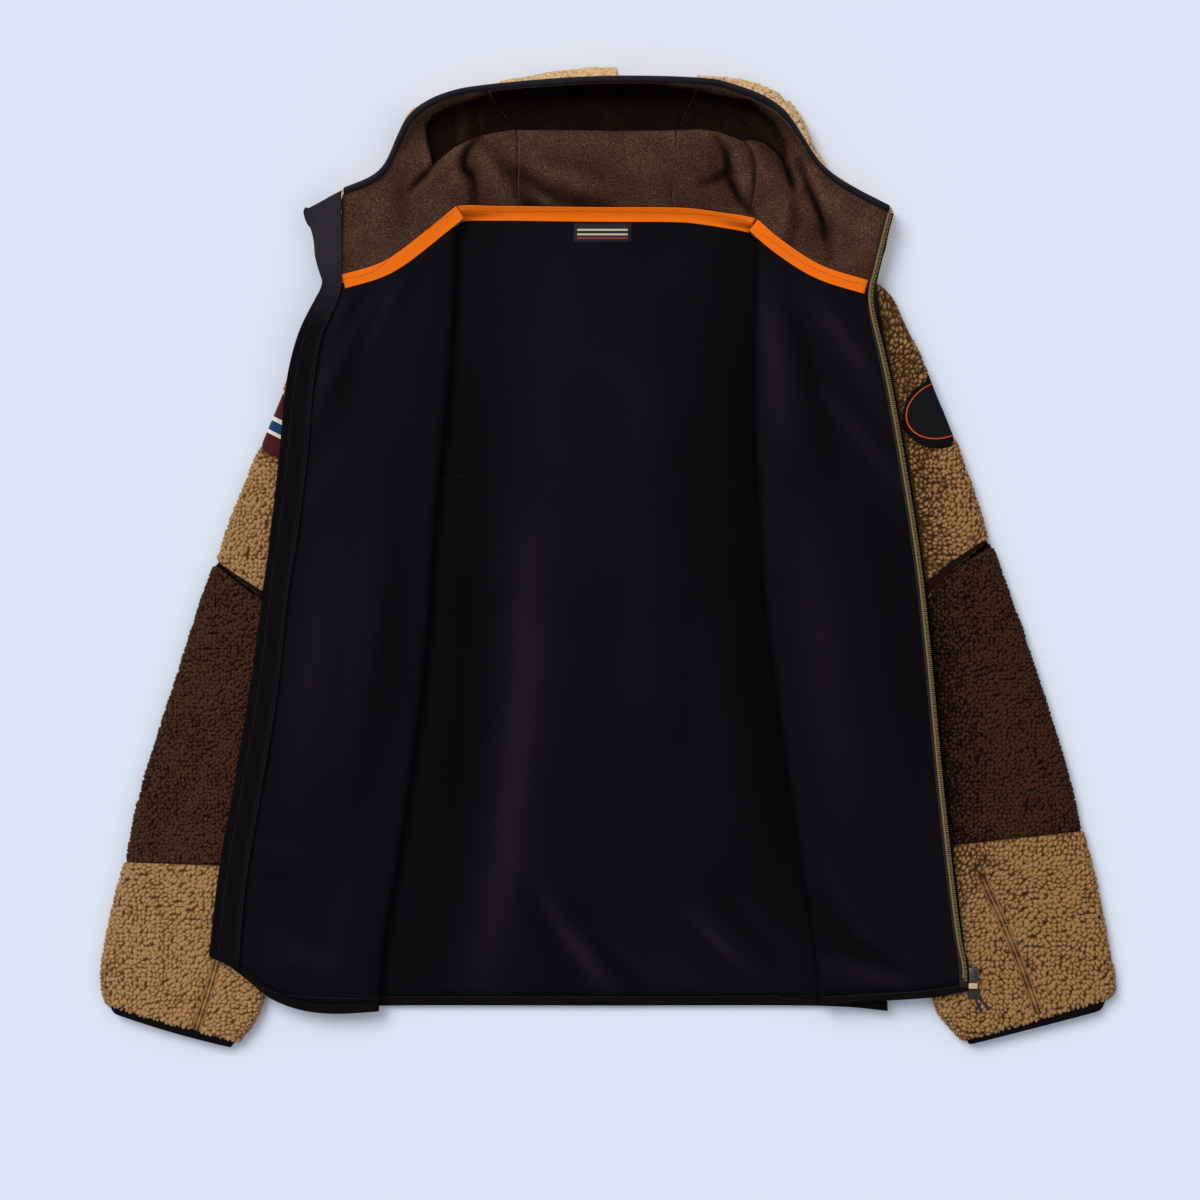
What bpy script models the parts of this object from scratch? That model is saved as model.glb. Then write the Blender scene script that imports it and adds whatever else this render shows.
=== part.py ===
"""Hooded fleece jacket laid open, lining up, on a flat surface.

The plan is measured from the centre back (x, + towards the wearer's left front) and from the
back's hem line (y, + towards the hood), in millimetres. The surface is z = 0.
"""

import math

import bmesh
import bpy
from mathutils import Vector

MM = 0.001

# ---------------------------------------------------------------- cloth, in mm
SHERPA = 6.0  # pile fabric, backing and pile together
LINING = 1.0
TAPE = 0.8
GAP = 0.3  # between pieces that meet
SEAM = 1.2  # between hood and body, under the neck tape
TRIM_RISE = SHERPA / 2 + GAP  # from the pile fabric's middle to what lies on it
LINING_TOP = TRIM_RISE + LINING

BACK_MID = SHERPA / 2
BACK_TOP = SHERPA + GAP + LINING
FRONT_LOW_MID = BACK_TOP + GAP + LINING + GAP + SHERPA / 2
FRONT_HIGH_MID = FRONT_LOW_MID + SHERPA + GAP
FOLD_RADIUS = (FRONT_HIGH_MID - FRONT_LOW_MID) / 2
FOLD_REACH = FOLD_RADIUS + LINING_TOP
FLAP_TOP = FRONT_HIGH_MID + LINING_TOP

SLEEVE_LOW_MID = SHERPA / 2
SLEEVE_HIGH_MID = 11.9
PATCHED_HIGH_MID = 10.6  # lower where a patch lies between the sleeve and the flap

HEM_BAND = 9.0
HEM_SHARE = HEM_BAND / 700.0
CUFF_BAND = 5.5
TAPE_WIDTH = 12.6
TAPE_CLEARANCE = 2.3
PLAN_CENTRE = (10.1, 402.3)
SHARP_EDGE_DEG = 50.0

# ---------------------------------------------------------------- outlines, in mm
LEFT_FOLD = (  # inner edge of the turned back left front
    {"at": "neck", "x": -125, "y": 704},
    {"at": "collar bone", "x": -129, "y": 609},
    {"at": "chest", "x": -134, "y": 551},
    {"at": "ribs", "x": -146, "y": 429},
    {"at": "waist", "x": -151, "y": 339},
    {"at": "hip", "x": -164, "y": 227},
    {"at": "lower hip", "x": -181, "y": 114},
    {"at": "above hem", "x": -193, "y": 50},
    {"at": "hem", "x": -196, "y": -4},
)
LEFT_EDGE = (  # front edge of the left front, under the flap of the zip
    {"at": "neck", "x": -243, "y": 651},
    {"at": "collar bone", "x": -263, "y": 611},
    {"at": "chest", "x": -278, "y": 546},
    {"at": "ribs", "x": -291, "y": 420},
    {"at": "waist", "x": -306, "y": 305},
    {"at": "hip", "x": -324, "y": 195},
    {"at": "lower hip", "x": -336, "y": 128},
    {"at": "hem", "x": -345, "y": 48},
)
LEFT_HEM = (
    {"at": "fold", "x": -196, "y": -4},
    {"at": "inner quarter", "x": -231, "y": -6},
    {"at": "middle", "x": -262, "y": -3},
    {"at": "outer quarter", "x": -294, "y": 8},
    {"at": "corner start", "x": -316, "y": 27},
    {"at": "edge", "x": -345, "y": 48},
)
RIGHT_FOLD = (
    {"at": "neck", "x": 143, "y": 691},
    {"at": "collar bone", "x": 142, "y": 609},
    {"at": "chest", "x": 141, "y": 551},
    {"at": "ribs", "x": 144, "y": 474},
    {"at": "waist", "x": 151, "y": 362},
    {"at": "hip", "x": 169, "y": 227},
    {"at": "lower hip", "x": 185, "y": 114},
    {"at": "above hem", "x": 195, "y": 51},
    {"at": "hem", "x": 201, "y": 2},
)
RIGHT_EDGE = (
    {"at": "neck", "x": 250.5, "y": 644},
    {"at": "collar bone", "x": 251.8, "y": 625},
    {"at": "chest", "x": 267.5, "y": 556},
    {"at": "ribs", "x": 290.5, "y": 420},
    {"at": "waist", "x": 302, "y": 320},
    {"at": "hip", "x": 313.2, "y": 200},
    {"at": "lower hip", "x": 327.5, "y": 76},
    {"at": "above hem", "x": 334, "y": 38},
    {"at": "hem", "x": 333, "y": 15},
)
RIGHT_HEM = (
    {"at": "fold", "x": 201, "y": 2},
    {"at": "inner quarter", "x": 255, "y": 6},
    {"at": "outer quarter", "x": 302, "y": 9},
    {"at": "edge", "x": 333, "y": 15},
)
SIDE = (  # armhole, then side seam, of the right half; the left one is its mirror image
    {"at": "shoulder point", "x": 229, "y": 640},
    {"at": "armhole", "x": 214, "y": 560},
    {"at": "lower armhole", "x": 222, "y": 470},
    {"at": "underarm", "x": 238, "y": 410},
    {"at": "waist", "x": 252, "y": 200},
    {"at": "hem", "x": 262, "y": -4},
)
SHOULDER_LEFT = (  # top of the back between the shoulder point and the neck
    {"at": "collar", "x": -186, "y": 650},
    {"at": "neck side", "x": -141, "y": 688},
)
SHOULDER_RIGHT = (
    {"at": "neck side", "x": 162, "y": 672},
    {"at": "collar", "x": 190, "y": 649},
)
FRONT_SHOULDER = {"x": 190, "y": 648}  # top of a front's under leg, of the right half
FOLD_EASE = {"x": 16, "y": -18}  # from the fold's neck end to the under leg beside it
NECK_START = 0.24  # share of the way from the neck side to the front where the fold ends
BACK_HEM = (
    {"at": "left side", "x": -262, "y": -4},
    {"at": "left quarter", "x": -200, "y": 0},
    {"at": "centre", "x": 0, "y": 0},
    {"at": "right quarter", "x": 200, "y": 0},
    {"at": "right side", "x": 262, "y": -4},
)

# Each row is a stretch of hood from the neck seam over the roll and the hollow to the rim.
# x and y are in plan, z is the height of the microfleece, bulge is how far the pile fabric
# stands out past the rim.
HOOD = (
    {"at": "left front", "neck": (-229, 652, 22), "crest": (-229.5, 694, 22),
     "floor": 22, "rim": (-229.5, 733, 21), "bulge": 0.5},
    {"at": "left collar", "neck": (-186, 666, 22), "crest": (-179, 715, 23),
     "floor": 22, "rim": (-194, 749, 23), "bulge": 0.5},
    {"at": "left shoulder", "neck": (-141, 700, 22), "crest": (-152, 753, 28),
     "floor": 22, "rim": (-177, 781, 29), "bulge": 1},
    {"at": "left neck side", "neck": (-124, 714, 19), "crest": (-141, 765, 33),
     "floor": 18, "rim": (-168, 797, 34), "bulge": 4},
    {"at": "left roll end", "neck": (-106, 715, 12), "crest": (-123, 776, 36),
     "floor": 10, "rim": (-153, 809, 38), "bulge": 3},
    {"at": "left roll", "neck": (-87, 715, 8), "crest": (-98, 785, 38),
     "floor": 7.6, "rim": (-132, 818, 41), "bulge": 1},
    {"at": "left seam", "neck": (-70, 715, 7.4), "crest": (-72, 788, 38),
     "floor": 7.3, "rim": (-99, 824, 43), "bulge": 3},
    {"at": "centre", "neck": (0, 714, 7.4), "crest": (-1, 787, 38),
     "floor": 7.3, "rim": (-1, 831, 45), "bulge": 8},
    {"at": "right seam", "neck": (68, 714, 7.4), "crest": (71, 788, 38),
     "floor": 7.3, "rim": (92, 830, 44), "bulge": 4},
    {"at": "right roll", "neck": (93, 712, 7.4), "crest": (102, 788, 38),
     "floor": 7.6, "rim": (122, 824, 42), "bulge": 7},
    {"at": "right roll end", "neck": (118, 708, 10), "crest": (130, 779, 36),
     "floor": 9, "rim": (147, 815, 40), "bulge": 8},
    {"at": "right neck side", "neck": (141, 703, 19), "crest": (152, 770, 33),
     "floor": 16, "rim": (166, 803, 36), "bulge": 8},
    {"at": "right shoulder", "neck": (160, 686, 22), "crest": (171, 746, 29),
     "floor": 21, "rim": (180, 786, 32), "bulge": 6},
    {"at": "right collar", "neck": (199, 661, 22), "crest": (205, 707, 23),
     "floor": 22, "rim": (208, 748, 24), "bulge": 3},
    {"at": "right front", "neck": (247.3, 646, 22), "crest": (259.2, 681, 22),
     "floor": 22, "rim": (266, 716, 21), "bulge": 0.5},
)
# Guides of the hood's pile fabric between those points: shares of the way and of the rise,
# or mm from the crest or the rim and a share of the height there.
ROLL_FRONT = ((0.12, 0.10), (0.34, 0.66), (0.66, 1.0))
ROLL_TOP = {"before_crest": 3, "above_crest": 1}
HOLLOW_NEAR = ((1, 0.75), (2, 0.05))
HOLLOW_MIDDLE = 0.45
HOLLOW_FAR = ((9, 0.0), (6, 0.5))
RIM_LIP = {"in": 3.2, "below": 3, "full_depth": 12}
HOOD_FOOT = 0.78  # share of a row where the underside leaves the ground
HOOD_OUTSIDE = {"foot_in": 2.5, "spread_from": 0.6, "out": 2.6, "belly_end": 1.25, "belly_low": 0.8}
HOOD_BINDING = {"width": 6.4, "edge": 2.4, "dome": 2.6}
NECK_SIDE_LEFT = 3
HOOD_SEAM_LEFT = 6
HOOD_SEAM_RIGHT = 8
NECK_SIDE_RIGHT = 11

# Stretches of each sleeve from the armhole to the cuff; bow bends a row towards the hand.
LEFT_SLEEVE = {
    "upper": (
        {"at": "armhole", "outer": (-233, 641), "inner": (-242, 408), "bow": -15,
         "high": PATCHED_HIGH_MID},
        {"at": "cap", "outer": (-262, 602), "inner": (-244, 402), "bow": -9,
         "high": PATCHED_HIGH_MID},
        {"at": "patch top", "outer": (-284, 550), "inner": (-247, 393), "bow": -4,
         "high": PATCHED_HIGH_MID},
        {"at": "patch end", "outer": (-308, 492), "inner": (-251, 380), "bow": 0,
         "high": PATCHED_HIGH_MID},
        {"at": "above seam", "outer": (-329, 441), "inner": (-256, 364), "bow": 2,
         "high": 11.0},
        {"at": "elbow seam", "outer": (-342, 400), "inner": (-261, 347), "bow": 4},
    ),
    "elbow": (
        {"at": "elbow seam", "outer": (-346, 395), "inner": (-261, 343.5), "bow": 4},
        {"at": "below seam", "outer": (-360, 356), "inner": (-264, 302), "bow": 2},
        {"at": "elbow", "outer": (-379, 295), "inner": (-269, 252), "bow": 0},
        {"at": "forearm", "outer": (-400, 231), "inner": (-276, 205), "bow": 0},
        {"at": "low forearm", "outer": (-414, 184), "inner": (-282, 163), "bow": 0},
        {"at": "cuff seam", "outer": (-424, 131), "inner": (-286, 126), "bow": 0},
    ),
    "cuff": (
        {"at": "cuff seam", "outer": (-425.5, 129), "inner": (-286.5, 124.4), "bow": 0},
        {"at": "wrist", "outer": (-436, 92), "inner": (-291, 82), "bow": 0},
        {"at": "low wrist", "outer": (-443, 57), "inner": (-296, 44), "bow": 0},
        {"at": "corner", "outer": (-447, 32), "inner": (-300, 12), "bow": 0},
        {"at": "near end", "outer": (-446, 14), "inner": (-309, -13), "bow": 1},
        {"at": "end", "outer": (-442, 2.4), "inner": (-323, -31), "bow": 1},
    ),
    "cuff_binding": (
        {"at": "seam", "outer": (-441.4, 1.8), "inner": (-324.3, -31.1), "bow": 1},
        {"at": "edge", "outer": (-439, -5.8), "inner": (-328.8, -37.8), "bow": 1.5},
    ),
}
RIGHT_SLEEVE = {
    "upper": (
        {"at": "armhole", "outer": (233, 641), "inner": (242, 408), "bow": -15},
        {"at": "cap", "outer": (262, 632), "inner": (244, 402), "bow": -9},
        {"at": "patch top", "outer": (288, 594), "inner": (247, 391), "bow": -3},
        {"at": "patch", "outer": (307, 548), "inner": (250, 376), "bow": 0},
        {"at": "patch end", "outer": (325, 504), "inner": (254, 358), "bow": 3},
        {"at": "above seam", "outer": (341, 458), "inner": (259, 336), "bow": 6},
        {"at": "elbow seam", "outer": (352, 421), "inner": (263, 316), "bow": -8},
    ),
    "elbow": (
        {"at": "elbow seam", "outer": (355, 417), "inner": (263.4, 312), "bow": -8},
        {"at": "below seam", "outer": (368, 381), "inner": (267, 284), "bow": -3},
        {"at": "elbow", "outer": (390, 320), "inner": (273, 247), "bow": 0},
        {"at": "forearm", "outer": (412, 250), "inner": (280, 209), "bow": 0},
        {"at": "low forearm", "outer": (427, 201), "inner": (286, 176), "bow": 0},
        {"at": "cuff seam", "outer": (436, 159), "inner": (290, 143), "bow": 0},
    ),
    "cuff": (
        {"at": "cuff seam", "outer": (437.5, 157), "inner": (290.4, 141.3), "bow": 0},
        {"at": "wrist", "outer": (446, 128), "inner": (294, 108), "bow": 0},
        {"at": "low wrist", "outer": (454, 91), "inner": (298, 70), "bow": 0},
        {"at": "above corner", "outer": (461, 54), "inner": (301, 32), "bow": 0},
        {"at": "corner", "outer": (467, 23), "inner": (304, 5), "bow": 0},
        {"at": "near end", "outer": (466.5, 14), "inner": (314, -13), "bow": 1},
        {"at": "end", "outer": (462, 8.6), "inner": (330, -29.6), "bow": 1},
    ),
    "cuff_binding": (
        {"at": "seam", "outer": (461.4, 8.0), "inner": (331.3, -29.7), "bow": 1},
        {"at": "edge", "outer": (457.8, -3.2), "inner": (334.6, -35), "bow": 0},
    ),
}

PLACKET = (  # flap behind the left half of the zip, from the collar's top to the hem
    {"at": "top", "outer": (-264, 719, 19), "inner": (-231, 733, 25.6)},
    {"at": "curl", "outer": (-257, 703, 20), "inner": (-230, 713, 25.6)},
    {"at": "collar", "outer": (-255, 688, 21), "inner": (-230, 692, 25.4)},
    {"at": "low collar", "outer": (-251, 668, 23), "inner": (-230, 669, 25.0)},
    {"at": "neck", "outer": (-246, 652, 24.4), "inner": (-231, 649, 24.4)},
    {"at": "collar bone", "outer": (-258, 632, 24.4), "inner": (-236, 628, 24.4)},
    {"at": "upper chest", "outer": (-267, 609, 24.4), "inner": (-242, 606, 24.4)},
    {"at": "chest", "outer": (-281, 546, 24.4), "inner": (-255, 545, 24.4)},
    {"at": "ribs", "outer": (-294, 420, 24.4), "inner": (-269, 420, 24.4)},
    {"at": "waist", "outer": (-309, 305, 24.4), "inner": (-285, 305, 24.4)},
    {"at": "hip", "outer": (-327, 195, 24.4), "inner": (-301, 195, 24.4)},
    {"at": "lower hip", "outer": (-339, 128, 24.4), "inner": (-311, 128, 24.4)},
    {"at": "hem", "outer": (-348, 46, 24.4), "inner": (-321, 52, 24.4)},
)
ZIP_RIGHT = (  # outer edge of the right half of the zip
    {"at": "top", "x": 265.5, "y": 710, "z": 24.0},
    {"at": "collar", "x": 261.3, "y": 694, "z": 24.0},
    {"at": "low collar", "x": 253.3, "y": 661, "z": 23.8},
    {"at": "neck", "x": 249.5, "y": 645, "z": 23.2},
    {"at": "collar bone", "x": 250.6, "y": 625, "z": 23.2},
    {"at": "chest", "x": 266.3, "y": 556, "z": 23.2},
    {"at": "ribs", "x": 289.2, "y": 420, "z": 23.2},
    {"at": "waist", "x": 300.7, "y": 320, "z": 23.2},
    {"at": "hip", "x": 311.9, "y": 200, "z": 23.2},
    {"at": "lower hip", "x": 326.2, "y": 76, "z": 23.2},
    {"at": "above hem", "x": 333.1, "y": 38, "z": 23.2},
    {"at": "end", "x": 333.2, "y": 18, "z": 23.2},
)
ZIP_LEFT = (  # inner edge of the left half of the zip, hidden by the flap behind it
    {"at": "top", "x": -236.5, "y": 715, "z": 23.2},
    {"at": "collar", "x": -236.5, "y": 690, "z": 23.2},
    {"at": "low collar", "x": -236.5, "y": 668, "z": 23.2},
    {"at": "neck", "x": -240.0, "y": 648, "z": 23.2},
    {"at": "collar bone", "x": -253, "y": 622, "z": 23.2},
    {"at": "chest", "x": -274, "y": 546, "z": 23.2},
    {"at": "ribs", "x": -288, "y": 420, "z": 23.2},
    {"at": "waist", "x": -303, "y": 305, "z": 23.2},
    {"at": "hip", "x": -321, "y": 195, "z": 23.2},
    {"at": "lower hip", "x": -333, "y": 128, "z": 23.2},
    {"at": "hem", "x": -341, "y": 54, "z": 23.2},
)
ZIP_TAPE_WIDTH = 7.5

# Soft ridges of the cloth: a line in plan, how wide and how high the cloth stands there.
FLAP_RIDGES = (
    {"at": "left, below the neck", "from": (-200, 585), "to": (-222, 470), "wide": 17, "high": 1.8},
    {"at": "left, waist", "from": (-190, 380), "to": (-232, 215), "wide": 20, "high": 2.0},
    {"at": "left, above the hem", "from": (-255, 100), "to": (-222, 60), "wide": 14, "high": 1.4},
    {"at": "right, below the neck", "from": (172, 590), "to": (176, 430), "wide": 11, "high": 1.6},
    {"at": "right, chest", "from": (208, 575), "to": (236, 480), "wide": 13, "high": 1.6},
    {"at": "right, above the hem", "from": (236, 70), "to": (290, 58), "wide": 13, "high": 1.6},
)
BACK_RIDGES = (
    {"at": "yoke left", "from": (-60, 670), "to": (-70, 560), "wide": 16, "high": 1.2},
    {"at": "yoke right", "from": (88, 660), "to": (82, 560), "wide": 14, "high": 1.2},
    {"at": "low left", "from": (-75, 330), "to": (-84, 70), "wide": 15, "high": 2.0},
    {"at": "low centre", "from": (-42, 92), "to": (2, 30), "wide": 10, "high": 2.4},
    {"at": "low centre right", "from": (2, 66), "to": (42, 28), "wide": 8, "high": 2.0},
    {"at": "low right", "from": (70, 240), "to": (112, 60), "wide": 18, "high": 1.6},
)

NECK_LABEL = {"x": (-21, 31), "y": (689.5, 706.5), "thick": 0.8}
PATCH_ALONG = {"stripe": (0.395, 0.55), "oval": (0.428, 0.63)}  # shares of the upper sleeve
PATCH_AROUND = {"stripe": (-24.0, 34.0), "oval": (-36.0, 42.5)}  # mm, + over the sleeve
PATCH_THICK = 0.8
PATCH_ROOM = PATCH_THICK + GAP + 0.1

SLIDER = {
    "x": 338.0, "top": 36.4, "bottom": 22.6, "low": 20.4, "high": 25.0, "width": 9.0,
    "taper": 0.16, "edge": 0.9,
}
BRIDGE = {  # bar under the slider that the pull's pin runs through; distances from its ends
    "half_width": 1.3, "from_bottom": 1.0, "from_top": 2.8, "below_pivot": 2.4, "thick": 1.4,
}
POST = {  # feet of the bridge: where each starts and ends
    "half_width": 0.8, "front": (4.8, 3.6), "end": (1.6, 2.8), "into_bridge": 0.5,
    "into_body": 1.5,
}
ZIP_BOX = {"top": 22.2, "bottom": 17.0, "low": 20.8, "high": 24.4, "width": 8.0, "edge": 0.6}
PULL = {
    "pivot_y": 26.5, "pivot_z": 19.2, "slope_deg": 6.3,
    "pin": (-2.6, 2.8), "pin_radius": 0.55,
    "arms": (-2.2, 2.4), "arm": 12.0, "arm_radius": 0.62, "arm_spread": 0.6, "arm_start": 0.3,
    "grip": (-4.0, 6.2), "grip_length": 9.0, "grip_half": 1.5, "grip_edge": 0.6, "overlap": 1.5,
    "sunk": 0.2,
    "tails": ((1.2, 7.4, -4.0), (4.4, 15.4, -2.6)), "tail_radius": 1.1, "tail_start": 4.0,
    "tail_end_z": 16.7,
}

# ---------------------------------------------------------------- materials
MATERIALS = {
    "tan_sherpa": ((0.46, 0.27, 0.12), 0.95),
    "brown_sherpa": ((0.05, 0.02, 0.01), 0.95),
    "microfleece": ((0.09, 0.045, 0.032), 0.9),
    "black_lining": ((0.009, 0.008, 0.012), 0.55),
    "black_trim": ((0.012, 0.012, 0.014), 0.6),
    "orange_tape": ((0.80, 0.16, 0.01), 0.6),
    "zip_tape": ((0.2, 0.13, 0.045), 0.6),
    "patch": ((0.08, 0.012, 0.02), 0.8),
    "zip_metal": ((0.05, 0.05, 0.055), 0.35),
    "cream_plastic": ((0.6, 0.48, 0.3), 0.4),
}


def material(name):
    found = bpy.data.materials.get(name)
    if found:
        return found
    colour, roughness = MATERIALS[name]
    made = bpy.data.materials.new(name)
    made.use_nodes = True
    shader = made.node_tree.nodes["Principled BSDF"]
    shader.inputs["Base Color"].default_value = (*colour, 1.0)
    shader.inputs["Roughness"].default_value = roughness
    shader.inputs["Metallic"].default_value = 0.8 if name == "zip_metal" else 0.0
    return made


# ---------------------------------------------------------------- curves and surfaces
def spline(points, t):
    """Point at t, from 0 to 1, of a smooth curve through the points, evenly by row."""
    last = len(points) - 1
    place = min(max(t, 0.0), 1.0) * last
    row = min(int(place), last - 1)
    s = place - row
    a, b = points[row], points[row + 1]
    before = points[row - 1] if row else a * 2 - b
    after = points[row + 2] if row + 2 <= last else b * 2 - a
    rise_a = (b - before) * 0.5
    rise_b = (after - a) * 0.5
    return (
        a * (2 * s**3 - 3 * s**2 + 1)
        + rise_a * (s**3 - 2 * s**2 + s)
        + b * (3 * s**2 - 2 * s**3)
        + rise_b * (s**3 - s**2)
    )


def by_length(points, samples=96):
    """The same smooth curve as a function of its share of length, from 0 to 1."""
    dense = [spline(points, k / samples) for k in range(samples + 1)]
    run = [0.0]
    for a, b in zip(dense, dense[1:]):
        run.append(run[-1] + (b - a).length)

    def at(t):
        goal = min(max(t, 0.0), 1.0) * run[-1]
        k = 0
        while k < samples - 1 and run[k + 1] < goal:
            k += 1
        step = run[k + 1] - run[k]
        return dense[k].lerp(dense[k + 1], (goal - run[k]) / step if step else 0.0)

    return at


def flat(row):
    return Vector((row["x"], row["y"], 0))


def plan_curve(rows):
    return by_length([Vector((row["x"], row["y"], row.get("z", 0.0))) for row in rows])


def coons(top, bottom, start, end):
    """Surface between four curves: u runs along top and bottom, v from top to bottom."""

    def at(u, v):
        across = top(u).lerp(bottom(u), v)
        along = start(v).lerp(end(v), u)
        corners = top(0).lerp(top(1), u).lerp(bottom(0).lerp(bottom(1), u), v)
        return across + along - corners

    return at


def ridge_height(ridges, x, y):
    """How far the cloth stands up at x, y for all the ridges together."""
    total = 0.0
    here = Vector((x, y))
    for ridge in ridges:
        a, b = Vector(ridge["from"]), Vector(ridge["to"])
        line = b - a
        share = min(max((here - a).dot(line) / line.length_squared, 0.0), 1.0)
        distance = (here - a - line * share).length
        total += ridge["high"] * math.exp(-((distance / ridge["wide"]) ** 2))
    return total


def normal_at(surface, u, v, step=1e-3):
    along_u = surface(min(u + step, 1.0), v) - surface(max(u - step, 0.0), v)
    along_v = surface(u, min(v + step, 1.0)) - surface(u, max(v - step, 0.0))
    return along_u.cross(along_v).normalized()


def along_normal(surface, sign):
    """Wall on a surface: the point at u, v moved by an offset along the normal."""
    return lambda u, v, offset: surface(u, v) + normal_at(surface, u, v) * sign * offset


def upwards(surface):
    """Wall on a surface: the point at u, v moved straight up by an offset."""
    return lambda u, v, offset: surface(u, v) + Vector((0, 0, offset))


# ---------------------------------------------------------------- solids
def finish(name, bm, look):
    """Turns a bmesh in mm of the plan into a named object in metres."""
    bmesh.ops.triangulate(bm, faces=bm.faces[:], quad_method="FIXED")
    bmesh.ops.recalc_face_normals(bm, faces=bm.faces[:])
    if bm.calc_volume(signed=True) < 0:
        bmesh.ops.reverse_faces(bm, faces=bm.faces[:])
    for vertex in bm.verts:
        vertex.co.x = (vertex.co.x - PLAN_CENTRE[0]) * MM
        vertex.co.y = (vertex.co.y - PLAN_CENTRE[1]) * MM
        vertex.co.z *= MM
    mesh = bpy.data.meshes.new(name)
    bm.to_mesh(mesh)
    bm.free()
    mesh.materials.append(material(look))
    mesh.shade_smooth()
    mesh.set_sharp_from_angle(angle=math.radians(SHARP_EDGE_DEG))
    made = bpy.data.objects.new(name, mesh)
    bpy.context.scene.collection.objects.link(made)
    return made


def spread(count, low=0.0, high=1.0):
    return [low + (high - low) * k / count for k in range(count + 1)]


def shell(name, look, wall, us, vs, low, high, closed=False):
    """Cloth between two offsets of a wall, over the given shares; closed joins its two sides."""
    bm = bmesh.new()
    place = bm.verts.layers.int.new("place")
    bmesh.ops.create_grid(bm, x_segments=len(us) - 1, y_segments=len(vs) - 1, size=1.0)
    for vertex in bm.verts:
        column = round((vertex.co.x + 1) / 2 * (len(us) - 1))
        row = round((vertex.co.y + 1) / 2 * (len(vs) - 1))
        vertex[place] = row * len(us) + column

    def lay(vertex, offset):
        row, column = divmod(vertex[place], len(us))
        vertex.co = wall(us[column], vs[row], offset)

    for vertex in bm.verts:
        lay(vertex, low)
    if closed:
        bmesh.ops.remove_doubles(bm, verts=bm.verts[:], dist=1e-3)
    raised = bmesh.ops.extrude_face_region(bm, geom=bm.faces[:])["geom"]
    for vertex in raised:
        if isinstance(vertex, bmesh.types.BMVert):
            lay(vertex, high)
    return finish(name, bm, look)


def block(bm, low, high, bevel=0.0):
    """A box between two corners, its edges rounded by bevel."""
    made = bmesh.ops.create_cube(bm, size=1.0)["verts"]
    low, high = Vector(low), Vector(high)
    for vertex in made:
        share = vertex.co + Vector((0.5, 0.5, 0.5))
        vertex.co = low + Vector(s * d for s, d in zip(share, high - low))
    if bevel:
        edges = list({edge for vertex in made for edge in vertex.link_edges})
        bmesh.ops.bevel(
            bm, geom=edges, offset=bevel, affect="EDGES", segments=2, profile=0.5, material=-1
        )


def rod(bm, start, end, radius, sides=8):
    """A round bar from start to end."""
    start, end = Vector(start), Vector(end)
    along = end - start
    turn = Vector((0, 0, 1)).rotation_difference(along).to_matrix().to_4x4()
    turn.translation = (start + end) / 2
    bmesh.ops.create_cone(
        bm, cap_ends=True, segments=sides, radius1=radius, radius2=radius,
        depth=along.length, matrix=turn,
    )


def union(name, look, shapes):
    """One solid from overlapping shapes, each a function that fills a bmesh."""
    parts = []
    for number, fill in enumerate(shapes):
        bm = bmesh.new()
        fill(bm)
        parts.append(finish(name if number == 0 else f"{name}_{number}", bm, look))
    for part in parts[1:]:
        part.hide_render = True
        part.display_type = "WIRE"
        join = parts[0].modifiers.new(part.name, "BOOLEAN")
        join.operation = "UNION"
        join.solver = "EXACT"
        join.object = part
    return parts[0]


# ---------------------------------------------------------------- body
def mirrored(rows):
    return tuple({**row, "x": -row["x"]} for row in rows)


def hood_column(key, u):
    return spline([Vector(row[key]) for row in HOOD], u)


def neckline(u, offset=0.0):
    """Neck seam at share u of the hood's rows, moved by offset towards the hood."""
    last = len(HOOD) - 1
    here = hood_column("neck", u)
    ahead = hood_column("neck", min(u + 0.25 / last, 1.0)) - hood_column("neck", max(u - 0.25 / last, 0.0))
    across = Vector((-ahead.y, ahead.x, 0)).normalized()
    return Vector((here.x, here.y, 0)) + across * offset


def share_of(row):
    return row / (len(HOOD) - 1)


def back_surface():
    """Middle of the back's pile fabric."""
    left, right = share_of(NECK_SIDE_LEFT), share_of(NECK_SIDE_RIGHT)
    neck = [neckline(u, -SEAM) for u in spread(12, left, right)]
    side = SIDE[0]
    left_slope = [Vector((-side["x"], side["y"], 0))] + [flat(row) for row in SHOULDER_LEFT]
    right_slope = [flat(row) for row in SHOULDER_RIGHT] + [flat(side)]
    top = by_length(left_slope + neck + right_slope)
    surface = coons(top, plan_curve(BACK_HEM), plan_curve(mirrored(SIDE)), plan_curve(SIDE))
    return lambda u, v: surface(u, v) + Vector((0, 0, BACK_MID))


def raised(surface, ridges):
    def at(u, v):
        here = surface(u, v)
        return here + Vector((0, 0, ridge_height(ridges, here.x, here.y)))

    return at


def build_back():
    surface = back_surface()
    wall = upwards(surface)
    rows = spread(16, 0.0, 1 - HEM_SHARE)
    columns = spread(16)
    shell("back", "tan_sherpa", wall, spread(14), spread(8, 0.0, 1 - HEM_SHARE), -SHERPA / 2, SHERPA / 2)
    loose = upwards(raised(surface, BACK_RIDGES))
    shell("back_lining", "black_lining", loose, columns, rows, TRIM_RISE, LINING_TOP)
    band = [1 - HEM_SHARE + GAP / 700, 1.0]
    shell("back_hem_binding", "black_trim", wall, spread(12), band, -SHERPA / 2, LINING_TOP)


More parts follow.
